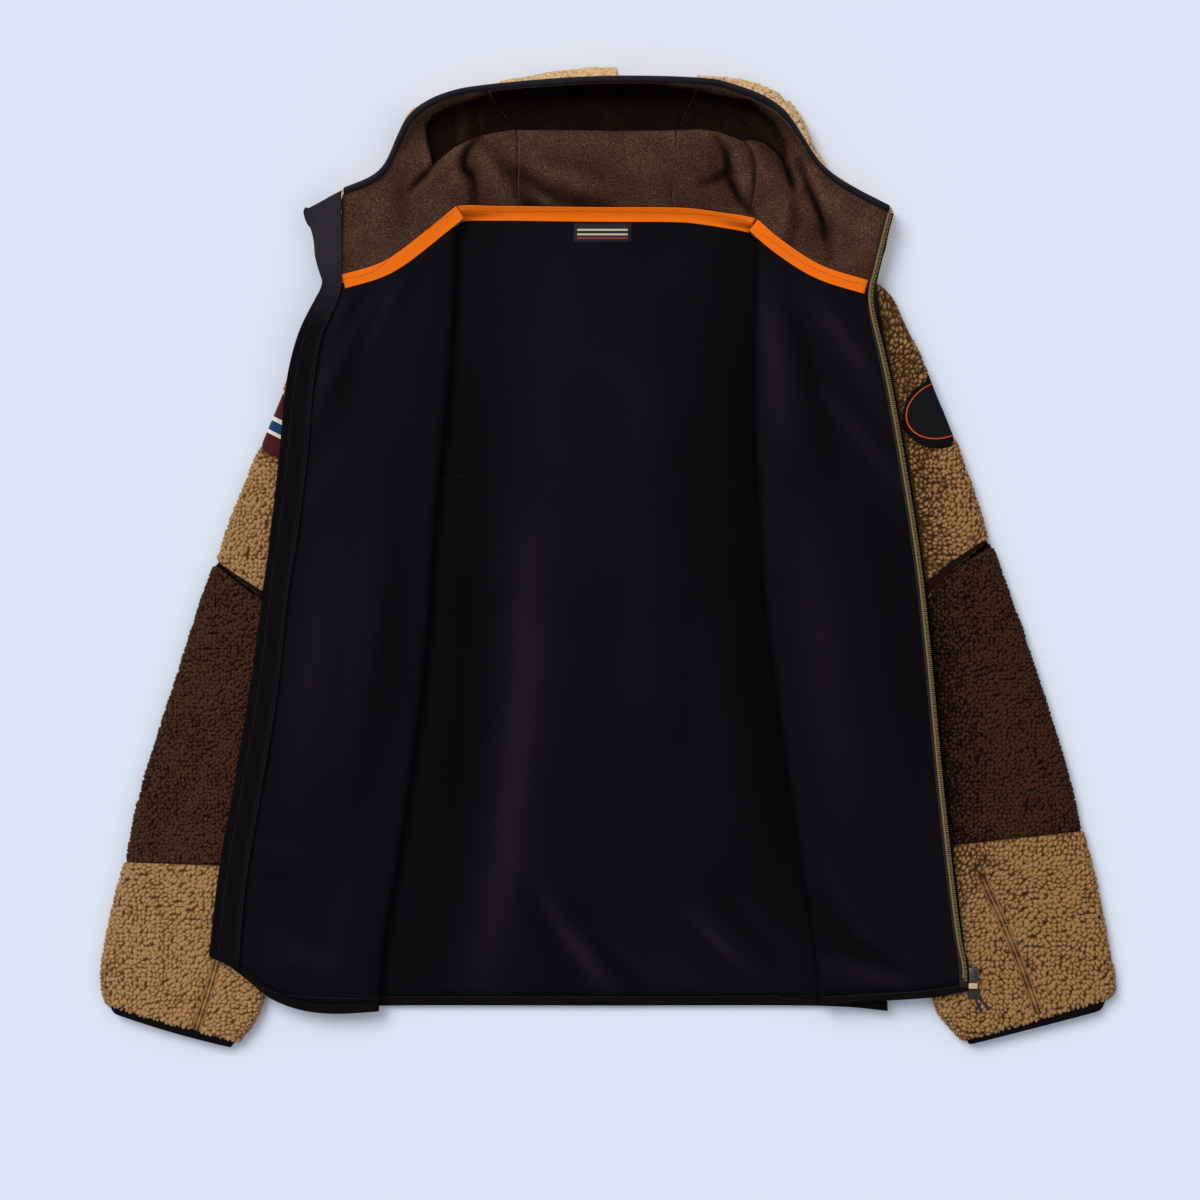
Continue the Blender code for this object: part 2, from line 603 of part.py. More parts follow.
def front_wall(side, fold_rows, edge_rows, hem_rows):
    """Wall of a front: under leg, fold, then the leg turned back outwards.

    The share u runs 0..1/3 along the under leg, ..2/3 round the fold, ..1 to the front edge.
    """
    fold_line = plan_curve(fold_rows)
    edge = plan_curve(edge_rows)
    hem = plan_curve(hem_rows)
    side_line = plan_curve(SIDE if side > 0 else mirrored(SIDE))

    def fold(v):
        return fold_line(v) + Vector((side * FOLD_REACH, 0, 0))

    def hem_high(t):
        return hem(t) + (fold(1) - hem(0)) * (1 - t) ** 2

    neck_side = share_of(NECK_SIDE_RIGHT if side > 0 else NECK_SIDE_LEFT)
    front = 1.0 if side > 0 else 0.0
    start = neck_side + (front - neck_side) * NECK_START
    neck = [neckline(u, -SEAM) for u in spread(7, start, front)]
    slope = (neck[0].y - fold(0).y) / (neck[0].x - fold(0).x)
    shoulder = Vector((side * SIDE[0]["x"], SIDE[0]["y"], 0))
    shoulder_middle = Vector((side * FRONT_SHOULDER["x"], FRONT_SHOULDER["y"], 0))
    near_neck = fold(0) + Vector((side * FOLD_EASE["x"], FOLD_EASE["y"], 0))
    top_low = by_length([shoulder, shoulder_middle, near_neck, fold(0)])
    hem_low = by_length([side_line(1), side_line(1).lerp(fold(1), 0.5), fold(1)])
    top_high = by_length([fold(0)] + neck + [edge(0)])
    low = coons(top_low, hem_low, side_line, fold)
    high = coons(top_high, hem_high, fold, edge)

    def at(u, v, offset):
        phase = u * 3
        if phase <= 1:
            return low(phase, v) + Vector((0, 0, FRONT_LOW_MID - offset))
        if phase >= 2:
            here = high(phase - 2, v)
            lift = ridge_height(FLAP_RIDGES, here.x, here.y)
            return here + Vector((0, 0, FRONT_HIGH_MID + lift + offset))
        turn = (phase - 1) * math.pi
        inwards = math.sin(turn) * (FOLD_RADIUS + offset)
        neck_slant = slope * inwards * -side * (1 - v) ** 6
        rise = FRONT_LOW_MID + FOLD_RADIUS - math.cos(turn) * (FOLD_RADIUS + offset)
        return fold(v) + Vector((-side * inwards, neck_slant, rise))

    return at


FRONT_COLUMNS = spread(4, 0, 1 / 3) + spread(6, 1 / 3, 2 / 3)[1:] + spread(8, 2 / 3, 1)[1:]
FRONT_ROWS = spread(13, 0.0, 1 - HEM_SHARE)


def build_front(name, side, fold_rows, edge_rows, hem_rows):
    wall = front_wall(side, fold_rows, edge_rows, hem_rows)
    half = SHERPA / 2
    us, vs = FRONT_COLUMNS, FRONT_ROWS
    shell(f"{name}_front", "tan_sherpa", wall, us, vs, -half, half)
    shell(f"{name}_front_lining", "black_lining", wall, us, vs, TRIM_RISE, LINING_TOP)
    band = [1 - HEM_SHARE + GAP / 700, 1.0]
    shell(f"{name}_hem_binding", "black_trim", wall, us, band, -half, LINING_TOP)


# ---------------------------------------------------------------- sleeves
def sleeve_wall(rows, side, patch_room=False):
    """Wall of a flattened tube.

    The share u runs 0..1/4 over the top from the outer edge, ..2/4 round the inner edge,
    ..3/4 back under the sleeve and ..1 round the outer edge. With patch_room the layer
    underneath stands up a little, so that a patch sewn round the edge has room.
    """
    outer = [Vector((*row["outer"], 0)) for row in rows]
    inner = [Vector((*row["inner"], 0)) for row in rows]
    shape = [Vector((row["bow"], row.get("high", SLEEVE_HIGH_MID), 0)) for row in rows]

    def at(u, v, offset):
        a, b = spline(outer, v), spline(inner, v)
        bow, high, _ = spline(shape, v)
        across = (b - a).normalized()
        down = Vector((across.y, -across.x, 0)) * (-side)
        radius = (high - SLEEVE_LOW_MID) / 2
        middle = Vector((0, 0, SLEEVE_LOW_MID + radius))
        near, far = a + across * (radius + SHERPA / 2), b - across * (radius + SHERPA / 2)
        quarter, phase = divmod(u * 4, 1.0)
        room = PATCH_ROOM * min(1.0, 2.5 * math.sin(math.pi * v)) if patch_room else 0.0
        reach = radius + offset
        if quarter in (0, 2):
            share = phase if quarter == 0 else 1 - phase
            here = near.lerp(far, share) + down * bow * math.sin(math.pi * share)
            up = reach if quarter == 0 else room * min(1.0, 2.5 * (1 - share)) - reach
            return here + middle + Vector((0, 0, up))
        turn = phase * math.pi
        centre, way = (far, across) if quarter == 1 else (near, -across)
        up = math.cos(turn) * reach * (1 if quarter == 1 else -1)
        if quarter != 1:
            up += room * (1 + math.cos(turn)) / 2
        return centre + way * math.sin(turn) * reach + middle + Vector((0, 0, up))

    return at


RING = (
    spread(4, 0, 0.25) + spread(4, 0.25, 0.5)[1:] + spread(3, 0.5, 0.75)[1:] + spread(4, 0.75, 0.99999)[1:]
)


def edge_arc(high_mid):
    """Half of the way round a sleeve's outer edge, at a patch's height over it."""
    return math.pi / 2 * ((high_mid - SLEEVE_LOW_MID) / 2 + TRIM_RISE)


def patch_wall(wall, arc, along, around, oval):
    """A patch laid on a sleeve and round its outer edge: the share u is mm round the edge.

    Off the rounding it runs straight inwards, square to the outer edge, on the flat of the sleeve.
    """
    low, high = around
    middle = sum(along) / 2
    edge = wall(0, along[1], 0) - wall(0, along[0], 0)
    inwards = Vector((-edge.y, edge.x, 0)).normalized()
    if inwards.dot(wall(0.2499, middle, 0) - wall(0, middle, 0)) < 0:
        inwards = -inwards

    def at(w, v, offset):
        place = (2 * w - low - high) / (high - low)
        reach = math.sqrt(max(0.0, 1 - place * place)) if oval else 1.0
        t = middle + (along[1] - along[0]) * reach * (v - 0.5)
        lift = TRIM_RISE + offset
        if w >= arc:
            return wall(0, t, lift) + inwards * (w - arc)
        if w <= -arc:
            return wall(0.75, t, lift) + inwards * (-arc - w)
        return wall(min(0.875 + 0.125 * w / arc, 0.99999), t, lift)

    return at


def build_sleeve(name, rows_of, side):
    looks = {"upper": "tan_sherpa", "elbow": "brown_sherpa", "cuff": "tan_sherpa"}
    rows_across = {"upper": 10, "elbow": 6, "cuff": 8}
    half = SHERPA / 2
    for part, look in looks.items():
        wall = sleeve_wall(rows_of[part], side, part == "upper")
        vs = spread(rows_across[part])
        shell(f"{name}_sleeve_{part}", look, wall, RING, vs, -half, half, closed=True)
    wall = sleeve_wall(rows_of["cuff_binding"], side)
    shell(f"{name}_cuff_binding", "black_trim", wall, RING, spread(1), -2.4, 2.2, closed=True)


def build_patches():
    for name, look, rows, side, high_mid in (
        ("stripe", "patch", LEFT_SLEEVE["upper"], -1, PATCHED_HIGH_MID),
        ("oval", "black_trim", RIGHT_SLEEVE["upper"], 1, SLEEVE_HIGH_MID),
    ):
        low, high = PATCH_AROUND[name]
        arc = edge_arc(high_mid)
        end = (high - low) * 0.004 if name == "oval" else 0.0
        under = spread(3, low + end, -arc)[:-1]
        round_edge = spread(8, -arc, arc)
        over = spread(4, arc, high - end)[1:]
        sleeve = sleeve_wall(rows, side, True)
        wall = patch_wall(sleeve, arc, PATCH_ALONG[name], (low, high), name == "oval")
        shell(f"{name}_patch", look, wall, under + round_edge + over, spread(4), 0.0, PATCH_THICK)


# ---------------------------------------------------------------- hood
BSPLINE = 3


def bspline(points, t):
    """Point at t of the clamped cubic B-spline of the points."""
    count = len(points)
    spans = count - BSPLINE
    knots = [0.0] * BSPLINE + [k / spans for k in range(spans + 1)] + [1.0] * BSPLINE
    t = min(max(t, 0.0), 1.0 - 1e-9)
    span = BSPLINE
    while knots[span + 1] <= t:
        span += 1
    work = [points[span - BSPLINE + k].copy() for k in range(BSPLINE + 1)]
    for level in range(1, BSPLINE + 1):
        for k in range(BSPLINE, level - 1, -1):
            low = knots[span - BSPLINE + k]
            high = knots[span + 1 + k - level]
            share = (t - low) / (high - low)
            work[k] = work[k - 1].lerp(work[k], share)
    return work[BSPLINE]


def hood_guides(u):
    """Control points of the hood's pile fabric, top side, from the neck seam to the rim."""
    neck, crest, rim = (hood_column(key, u) for key in ("neck", "crest", "rim"))
    floor = spline([Vector((row["floor"], 0, 0)) for row in HOOD], u).x
    drop = LINING + GAP
    seam = neckline(u, SEAM / 2)
    flat_neck = Vector((seam.x, seam.y, 0))
    flat_crest = Vector((crest.x, crest.y, 0))
    flat_rim = Vector((rim.x, rim.y, 0))
    over = (flat_rim - flat_crest).normalized()
    rise = (flat_crest - flat_neck).normalized()
    up = Vector((0, 0, 1))
    z_neck, z_crest, z_rim = neck.z - drop, crest.z - drop, rim.z - drop
    z_floor = floor - drop
    lip = RIM_LIP["below"] * min(1.0, (z_rim - z_floor) / RIM_LIP["full_depth"])
    roll_front = [
        flat_neck.lerp(flat_crest, way) + up * (z_neck + share * (z_crest - z_neck))
        for way, share in ROLL_FRONT
    ]
    roll_top = flat_crest - rise * ROLL_TOP["before_crest"] + up * (z_crest + ROLL_TOP["above_crest"])
    near = [
        flat_crest + over * away + up * (z_floor + share * (z_crest - z_floor))
        for away, share in HOLLOW_NEAR
    ]
    middle = flat_crest.lerp(flat_rim, HOLLOW_MIDDLE) + up * z_floor
    far = [
        flat_rim - over * away + up * (z_floor + share * (z_rim - z_floor))
        for away, share in HOLLOW_FAR
    ]
    rim_point = flat_rim - over * RIM_LIP["in"] + up * (z_rim - lip)
    return [flat_neck + up * z_neck, *roll_front, roll_top, *near, middle, *far, rim_point]


def hood_surface(u, v):
    return bspline(hood_guides(u), v)


def hood_under(u, v):
    """The pile side: flat under the roll and the hollow, then up the outside of the rim."""
    rim, crest = hood_column("rim", u), hood_column("crest", u)
    bulge = spline([Vector((row["bulge"], 0, 0)) for row in HOOD], u).x
    over = Vector((rim.x - crest.x, rim.y - crest.y, 0)).normalized()
    flat_rim = Vector((rim.x, rim.y, 0))
    foot = flat_rim + over * (bulge - HOOD_OUTSIDE["foot_in"])
    if v <= HOOD_FOOT:
        below, last = hood_surface(u, v), hood_surface(u, HOOD_FOOT)
        first = HOOD_OUTSIDE["spread_from"]
        spread_out = max(0.0, (v - first) / (HOOD_FOOT - first))
        shift = (foot - last) * spread_out
        return Vector((below.x + shift.x, below.y + shift.y, 0))
    climb = (v - HOOD_FOOT) / (1 - HOOD_FOOT)
    high = hood_surface(u, 1.0).z
    share = min(1.0, climb * HOOD_OUTSIDE["belly_end"]) ** HOOD_OUTSIDE["belly_low"]
    out = HOOD_OUTSIDE["out"]
    bow = out * math.sin(math.pi * climb) + bulge * math.sin(math.pi * share)
    return foot.lerp(flat_rim + over * out, climb) + over * bow + Vector((0, 0, high * climb))


def hood_wall(u, v, offset):
    """Pile side at offset 0, microfleece side of the pile fabric at offset 1."""
    return hood_surface(u, v) if offset else hood_under(u, v)


HOOD_SEAM_ROOM = {"left": (0.0, 0.002), "centre": (0.0006, 0.0006), "right": (0.002, 0.0)}
HOOD_ROWS = (0.0, 0.12, 0.24, 0.36, 0.45, 0.51, 0.57, 0.63, 0.7, HOOD_FOOT, 0.85, 0.92, 1.0)


def hood_stretches():
    """Name, first and last share and number of stations of each panel of the hood."""
    left, right = share_of(HOOD_SEAM_LEFT), share_of(HOOD_SEAM_RIGHT)
    seam = 0.0003
    return (
        ("left", 0.0, left - seam, 12),
        ("centre", left + seam, right - seam, 6),
        ("right", right + seam, 1.0, 12),
    )


def build_hood():
    lining = along_normal(hood_surface, 1.0)
    for name, first, last, stations in hood_stretches():
        us = spread(stations, first, last)
        shell(f"hood_{name}", "tan_sherpa", hood_wall, us, HOOD_ROWS, 0.0, 1.0)
        us[0] += HOOD_SEAM_ROOM[name][0]
        us[-1] -= HOOD_SEAM_ROOM[name][1]
        shell(f"hood_lining_{name}", "microfleece", lining, us, HOOD_ROWS, GAP, GAP + LINING)
    vs = spread(40, 0.004, 0.996)
    shell("hood_binding", "black_trim", hood_rim_wall, spread(3), vs, 0.0, 1.0)


def hood_rim_wall(u, v, offset):
    """Binding that closes the hood's rim, flat below and rounded above."""
    rim = hood_column("rim", v)
    crest = hood_column("crest", v)
    over = Vector((rim.x - crest.x, rim.y - crest.y, 0)).normalized()
    top = hood_surface(v, 1.0).z + LINING + GAP * 2
    dome = HOOD_BINDING["edge"] + HOOD_BINDING["dome"] * math.sin(math.pi * u)
    place = Vector((rim.x, rim.y, top)) + over * (u - 0.5) * HOOD_BINDING["width"]
    return place + Vector((0, 0, dome * offset))


# ---------------------------------------------------------------- trims
def strip_surface(line, width, shift=0.0):
    """Flat strip beside a line: u across it, v along it."""

    def at(u, v):
        here = line(v)
        ahead = line(min(v + 0.01, 1.0)) - line(max(v - 0.01, 0.0))
        across = Vector((-ahead.y, ahead.x, 0)).normalized()
        return here + across * (shift + width * u)

    return at


def hood_point_at(u, distance):
    """Point of the hood's pile fabric, as its flat faces run, at a plan distance from the seam."""
    start = hood_surface(u, 0.0)
    near, reached = start, 0.0
    for v in HOOD_ROWS[1:]:
        far = hood_surface(u, v)
        reach = math.hypot(far.x - start.x, far.y - start.y)
        if reach >= distance:
            return near.lerp(far, (distance - reached) / (reach - reached))
        near, reached = far, reach
    return near


def build_neck_tape():
    left, right = share_of(NECK_SIDE_LEFT), share_of(NECK_SIDE_RIGHT)
    stretches = (
        ("left", 0.002, left - 0.012, 10, FLAP_TOP),
        ("back", left + 0.004, right - 0.004, 16, BACK_TOP),
        ("right", right + 0.012, 0.987, 10, FLAP_TOP),
    )
    for name, first, last, stations, rest in stretches:

        def at(u, v, offset, first=first, last=last, rest=rest):
            share = first + (last - first) * v
            across = (u - 0.5) * TAPE_WIDTH
            here = neckline(share, across)
            height = rest
            if across > -SEAM:
                height = max(rest, hood_point_at(share, max(0.0, across)).z + TAPE_CLEARANCE)
            return here + Vector((0, 0, height + GAP + offset))

        shell(f"neck_tape_{name}", "orange_tape", at, spread(4), spread(stations), 0.0, TAPE)


def build_placket():
    outer = [Vector(row["outer"]) for row in PLACKET]
    inner = [Vector(row["inner"]) for row in PLACKET]
    wall = upwards(lambda u, v: spline(outer, v).lerp(spline(inner, v), u))
    shell("zip_flap", "black_trim", wall, spread(2), spread(30), -0.5, 0.5)


def build_zips():
    for name, rows, shift in (("right", ZIP_RIGHT, -ZIP_TAPE_WIDTH), ("left", ZIP_LEFT, 0.0)):
        line = by_length([Vector((row["x"], row["y"], row["z"])) for row in rows])
        width = ZIP_TAPE_WIDTH if name == "right" else ZIP_TAPE_WIDTH - 1.5
        wall = upwards(strip_surface(line, width, shift))
        high = 0.8 if name == "right" else 0.4
        shell(f"zip_tape_{name}", "zip_tape", wall, spread(1), spread(30), -0.4, high)


def build_label():
    (x0, x1), (y0, y1) = NECK_LABEL["x"], NECK_LABEL["y"]

    def at(u, v, offset):
        x, y = x0 + (x1 - x0) * u, y0 + (y1 - y0) * v
        return Vector((x, y, BACK_TOP + GAP + offset + ridge_height(BACK_RIDGES, x, y)))

    shell("neck_label", "black_trim", at, spread(6), spread(3), 0.0, NECK_LABEL["thick"])


def build_slider():
    x, half = SLIDER["x"], SLIDER["width"] / 2
    low, high = SLIDER["low"], SLIDER["high"]
    top, bottom = SLIDER["top"], SLIDER["bottom"]
    bar_low = PULL["pivot_z"] - BRIDGE["below_pivot"]
    bar_high = bar_low + BRIDGE["thick"]

    def body(bm):
        block(bm, (x - half, bottom, low), (x + half, top, high), SLIDER["edge"])
        for vertex in bm.verts:
            taper = SLIDER["taper"] * (top - vertex.co.y) / (top - bottom)
            vertex.co.x = x + (vertex.co.x - x) * (1 - taper)

    def bridge(bm):
        near, far = bottom + BRIDGE["from_bottom"], top - BRIDGE["from_top"]
        wide = BRIDGE["half_width"]
        block(bm, (x - wide, near, bar_low), (x + wide, far, bar_high))

    def post(near, far):
        wide = POST["half_width"]
        feet = bar_low + POST["into_bridge"], low + POST["into_body"]
        return lambda bm: block(bm, (x - wide, near, feet[0]), (x + wide, far, feet[1]))

    front_post = post(*(top - distance for distance in POST["front"]))
    end_post = post(*(bottom + distance for distance in POST["end"]))
    union("zip_slider", "zip_metal", (body, bridge, front_post, end_post))

    bm = bmesh.new()
    half = ZIP_BOX["width"] / 2
    low_corner = (x - half, ZIP_BOX["bottom"], ZIP_BOX["low"])
    block(bm, low_corner, (x + half, ZIP_BOX["top"], ZIP_BOX["high"]), ZIP_BOX["edge"])
    finish("zip_box", bm, "cream_plastic")


def build_pull():
    """Pull tab: a cross pin in the slider's bridge, two arms, a moulded block and cord ends."""
    x, y, z = SLIDER["x"], PULL["pivot_y"], PULL["pivot_z"]
    slope = math.tan(math.radians(PULL["slope_deg"]))

    def sunk(distance):
        return z - slope * distance

    def pin(bm):
        near, far = PULL["pin"]
        rod(bm, (x + near, y, z), (x + far, y, z), PULL["pin_radius"])

    def arm(offset):
        def fill(bm):
            start = Vector((x + offset, y + PULL["arm_start"], z))
            end = Vector((x + offset + PULL["arm_spread"], y - PULL["arm"], sunk(PULL["arm"])))
            rod(bm, start, end, PULL["arm_radius"])

        return fill

    def grip(bm):
        reach = PULL["arm"] - PULL["overlap"]
        (left, right), half = PULL["grip"], PULL["grip_half"]
        low_corner = (x + left, y - reach - PULL["grip_length"], -half)
        block(bm, low_corner, (x + right, y - reach, half), PULL["grip_edge"])
        for vertex in bm.verts:
            vertex.co.z += sunk(y - vertex.co.y) - PULL["sunk"]

    def tail(start_x, end_x, end_y):
        def fill(bm):
            reach = PULL["arm"] + PULL["tail_start"]
            start = Vector((x + start_x, y - reach, sunk(reach) - PULL["sunk"]))
            end = Vector((x + end_x, end_y, PULL["tail_end_z"]))
            rod(bm, start, end, PULL["tail_radius"])

        return fill

    arms = [arm(offset) for offset in PULL["arms"]]
    tails = [tail(*ends) for ends in PULL["tails"]]
    union("zip_pull", "black_trim", (grip, pin, *arms, *tails))


def main():
    for old in list(bpy.data.objects):
        bpy.data.objects.remove(old, do_unlink=True)
    build_back()
    build_front("left", -1, LEFT_FOLD, LEFT_EDGE, LEFT_HEM)
    build_front("right", 1, RIGHT_FOLD, RIGHT_EDGE, RIGHT_HEM)
    build_sleeve("left", LEFT_SLEEVE, -1)
    build_sleeve("right", RIGHT_SLEEVE, 1)
    build_patches()
    build_hood()
    build_neck_tape()
    build_placket()
    build_zips()
    build_label()
    build_slider()
    build_pull()


main()
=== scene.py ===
# %% [markdown]
# # A hooded pile fleece jacket, laid open
# The jacket lies on its back on a pale surface. Both fronts are turned outwards, so the black
# lining shows, and the brown inside of the hood is heaped above an orange neck tape. The packed
# solids give every piece its place and size. This script gives each one its cloth: curly pile,
# brushed fleece, smooth lining, twill tape, stitches and a zip.

# %% Load the frame
import math

import bmesh
import bpy
import numpy as np
from mathutils import Matrix, Vector
from mathutils import noise as field_noise
from mathutils.bvhtree import BVHTree


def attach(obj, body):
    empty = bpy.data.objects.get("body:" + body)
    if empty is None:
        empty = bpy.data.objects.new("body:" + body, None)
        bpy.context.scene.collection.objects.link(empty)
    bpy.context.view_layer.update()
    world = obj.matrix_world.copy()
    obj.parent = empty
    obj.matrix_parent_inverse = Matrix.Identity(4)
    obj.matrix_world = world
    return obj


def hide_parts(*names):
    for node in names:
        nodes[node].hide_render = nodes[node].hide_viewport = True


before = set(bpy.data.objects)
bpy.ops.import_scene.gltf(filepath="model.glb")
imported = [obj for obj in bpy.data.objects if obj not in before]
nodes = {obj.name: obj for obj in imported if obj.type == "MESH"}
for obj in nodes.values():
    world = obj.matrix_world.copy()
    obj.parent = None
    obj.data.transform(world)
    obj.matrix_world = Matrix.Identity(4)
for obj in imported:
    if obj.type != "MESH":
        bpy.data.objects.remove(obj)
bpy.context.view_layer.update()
MM = 0.001

# %% [markdown]
# ## Camera
# The photograph looks straight down, so the camera hangs high above the jacket with a long lens,
# which keeps the folds that stand up from leaning outwards. A point that is read off the
# photograph is turned into a place on the jacket by one small function, because one pixel is
# 0.9 mm on the cloth.

# %% Camera and places
PIXEL = 0.9 * MM
PHOTO_SIZE = 1200
CENTRE_BACK_PX = 608.2  # the frame's x = 0
CENTRE_LENGTH_PX = 560.0  # the frame's y = 0
CLOTH_HEIGHT = 0.018
CAMERA_HEIGHT = 3.0
SENSOR_WIDTH = 36.0


def from_photo(px, py, z=0.0):
    """Place on the jacket of a pixel of the photograph."""
    return Vector(((px - CENTRE_BACK_PX) * PIXEL, (CENTRE_LENGTH_PX - py) * PIXEL, z))


camera_data = bpy.data.cameras.new("camera")
camera = bpy.data.objects.new("camera", camera_data)
bpy.context.scene.collection.objects.link(camera)
camera.location = from_photo(PHOTO_SIZE / 2, PHOTO_SIZE / 2, CAMERA_HEIGHT)
view_width = PHOTO_SIZE * PIXEL
camera_data.sensor_width = SENSOR_WIDTH
camera_data.lens = SENSOR_WIDTH * (CAMERA_HEIGHT - CLOTH_HEIGHT) / view_width
bpy.context.scene.camera = camera
print("camera sees", round(view_width, 3), "m across with a lens of", round(camera_data.lens, 1), "mm")

# %% [markdown]
# ## Floor and light
# A pale blue-grey floor and one wide lamp give the soft, almost shadowless light of a picture
# taken on a table. The lamp stands a little to the left and towards the hood, so each curl of
# pile has a dark side.

# %% Colours and pieces
def linear(red, green, blue):
    """Colour read as 0 to 255, in the linear values that Blender's sockets take."""
    shares = [c / 255 for c in (red, green, blue)]
    return tuple(s / 12.92 if s < 0.04045 else ((s + 0.055) / 1.055) ** 2.4 for s in shares)


def new_material(name, colour, roughness, sheen=0.0, specular=0.5):
    """A Principled material with its even values set on the shader's own sockets."""
    made = bpy.data.materials.new(name)
    made.use_nodes = True
    shader = made.node_tree.nodes["Principled BSDF"]
    shader.inputs["Base Color"].default_value = (*colour, 1.0)
    shader.inputs["Roughness"].default_value = roughness
    shader.inputs["Specular IOR Level"].default_value = specular
    shader.inputs["Sheen Weight"].default_value = sheen
    shader.inputs["Sheen Roughness"].default_value = 0.4
    return made


def mesh_of(bm, name):
    """The mesh that a bmesh has shaped."""
    mesh = bpy.data.meshes.new(name)
    bm.to_mesh(mesh)
    bm.free()
    return mesh


def put_object(name, mesh, material):
    """A smooth shaded piece of the jacket with one material."""
    mesh.materials.clear()
    mesh.materials.append(material)
    mesh.shade_smooth()
    made = bpy.data.objects.new(name, mesh)
    bpy.context.scene.collection.objects.link(made)
    return made


print("middle grey in linear values:", [round(share, 3) for share in linear(128, 128, 128)])

# %% Floor and light
FLOOR_HALF = 4.0
FLOOR_COLOUR = linear(226, 232, 242)
SKY_COLOUR = linear(226, 234, 244)
SKY_POWER = 0.52

bm = bmesh.new()
bmesh.ops.create_grid(bm, x_segments=1, y_segments=1, size=FLOOR_HALF)
floor = put_object("floor", mesh_of(bm, "floor"), new_material("floor", FLOOR_COLOUR, 0.9))

sky = bpy.data.worlds.new("sky")
sky.use_nodes = True
backdrop = sky.node_tree.nodes["Background"]
backdrop.inputs["Color"].default_value = (*SKY_COLOUR, 1.0)
backdrop.inputs["Strength"].default_value = SKY_POWER
bpy.context.scene.world = sky
bpy.context.scene.view_settings.view_transform = "Standard"


def wide_sun(name, towards, softness, power):
    """Even light from one side; its softness is the angle that its source fills."""
    sun = bpy.data.lights.new(name, "SUN")
    sun.angle = math.radians(softness)
    sun.energy = power
    made = bpy.data.objects.new(name, sun)
    made.rotation_euler = Vector(towards).to_track_quat("-Z", "Y").to_euler()
    bpy.context.scene.collection.objects.link(made)


wide_sun("window", (0.62, -0.72, -1.25), 34, 1.75)
wide_sun("ceiling", (-0.15, 0.1, -1.0), 90, 0.35)

# %% [markdown]
# ## Small tools
# Every cloth piece starts as a merged copy of its solid, so that it lies exactly where the solid
# does. A Subdivision Surface rounds the copy, and its sharp edges are creased first, or the
# corners of thin cloth would shrink. Two more tools find what lies above a point, and turn a
# modifier's result into a plain mesh.

# %% Copies of solids
MERGE_WITHIN = 0.01 * MM
JOIN_BEND, JOIN_SHAPE = 0.7, 1.2  # triangles are joined in pairs up to these angles, in radians


def merged_copy(node):
    """A bmesh of a solid, its loose triangles merged and joined into four-sided faces."""
    bm = bmesh.new()
    bm.from_mesh(nodes[node].data)
    bmesh.ops.remove_doubles(bm, verts=bm.verts, dist=MERGE_WITHIN)
    bmesh.ops.join_triangles(
        bm, faces=bm.faces, angle_face_threshold=JOIN_BEND, angle_shape_threshold=JOIN_SHAPE,
        topology_influence=1.0,
    )
    return bm


def bake(piece):
    """The piece with its modifiers worked into its mesh."""
    graph = bpy.context.evaluated_depsgraph_get()
    mesh = bpy.data.meshes.new_from_object(piece.evaluated_get(graph))
    piece.modifiers.clear()
    piece.data = mesh
    mesh.shade_smooth()
    return piece


def fine_copy(node, name, material, levels, sharp=0.9):
    """A rounded, finely divided copy of a solid, which then stands for it."""
    bm = merged_copy(node)
    hold = bm.edges.layers.float.new("crease_edge")
    for edge in bm.edges:
        if len(edge.link_faces) == 2 and edge.calc_face_angle(0.0) > sharp:
            edge[hold] = 1.0
    piece = put_object(name, mesh_of(bm, name), material)
    rounding = piece.modifiers.new("rounding", "SUBSURF")
    rounding.levels = rounding.render_levels = levels
    bake(piece)
    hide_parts(node)
    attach(piece, "jacket")
    return piece


print("largest solid, in triangles:", max(len(solid.data.polygons) for solid in nodes.values()))

# %% Points and heights
ABOVE_ALL = 0.3
DOWN = Vector((0, 0, -1))


def points_of(piece):
    points = np.empty(len(piece.data.vertices) * 3)
    piece.data.vertices.foreach_get("co", points)
    return points.reshape(-1, 3)


def set_points(piece, points):
    piece.data.vertices.foreach_set("co", points.ravel())
    piece.data.update()


def tree_of(*pieces):
    """One search tree over the meshes of several pieces, to find what lies where."""
    points, faces = [], []
    for piece in pieces:
        start = len(points)
        points += [v.co for v in piece.data.vertices]
        faces += [[start + k for k in face.vertices] for face in piece.data.polygons]
    return BVHTree.FromPolygons(points, faces)


def height_on(tree, x, y, default=None):
    """How high the highest piece of a tree is at a place, or the default where there is none."""
    hit = tree.ray_cast(Vector((x, y, ABOVE_ALL)), DOWN)[0]
    return hit.z if hit else default


HOOD_MIDDLE = from_photo(620, 170)
hood_height = height_on(tree_of(nodes["hood_lining_centre"]), HOOD_MIDDLE.x, HOOD_MIDDLE.y, 0.0)
print("height of the lining in the middle of the hood, in mm:", round(hood_height / MM, 1))

# %% [markdown]
# ## Materials of woven and brushed cloth
# Cloth is told apart by very small things: the ribs of its weave, how it catches light at a low
# angle, and how even its colour is. Each material below bends the surface with a pattern at the
# real scale of its threads and varies the colour a little. Patterns read Object coordinates, in
# metres, so a scale of 1000 is a thread of about a millimetre.

# %% Nodes and patterns
def link(material, source, target):
    material.node_tree.links.new(source, target)


def add_node(material, kind, **values):
    made = material.node_tree.nodes.new(kind)
    for name, value in values.items():
        setattr(made, name, value)
    return made


def shader_of(material):
    return material.node_tree.nodes["Principled BSDF"]


def object_place(material, scale=(1, 1, 1), turn=0.0):
    """Object coordinates, stretched and turned about the vertical."""
    place = add_node(material, "ShaderNodeTexCoord")
    mapping = add_node(material, "ShaderNodeMapping")
    mapping.inputs["Scale"].default_value = scale
    mapping.inputs["Rotation"].default_value = (0, 0, turn)
    link(material, place.outputs["Object"], mapping.inputs["Vector"])
    return mapping.outputs["Vector"]


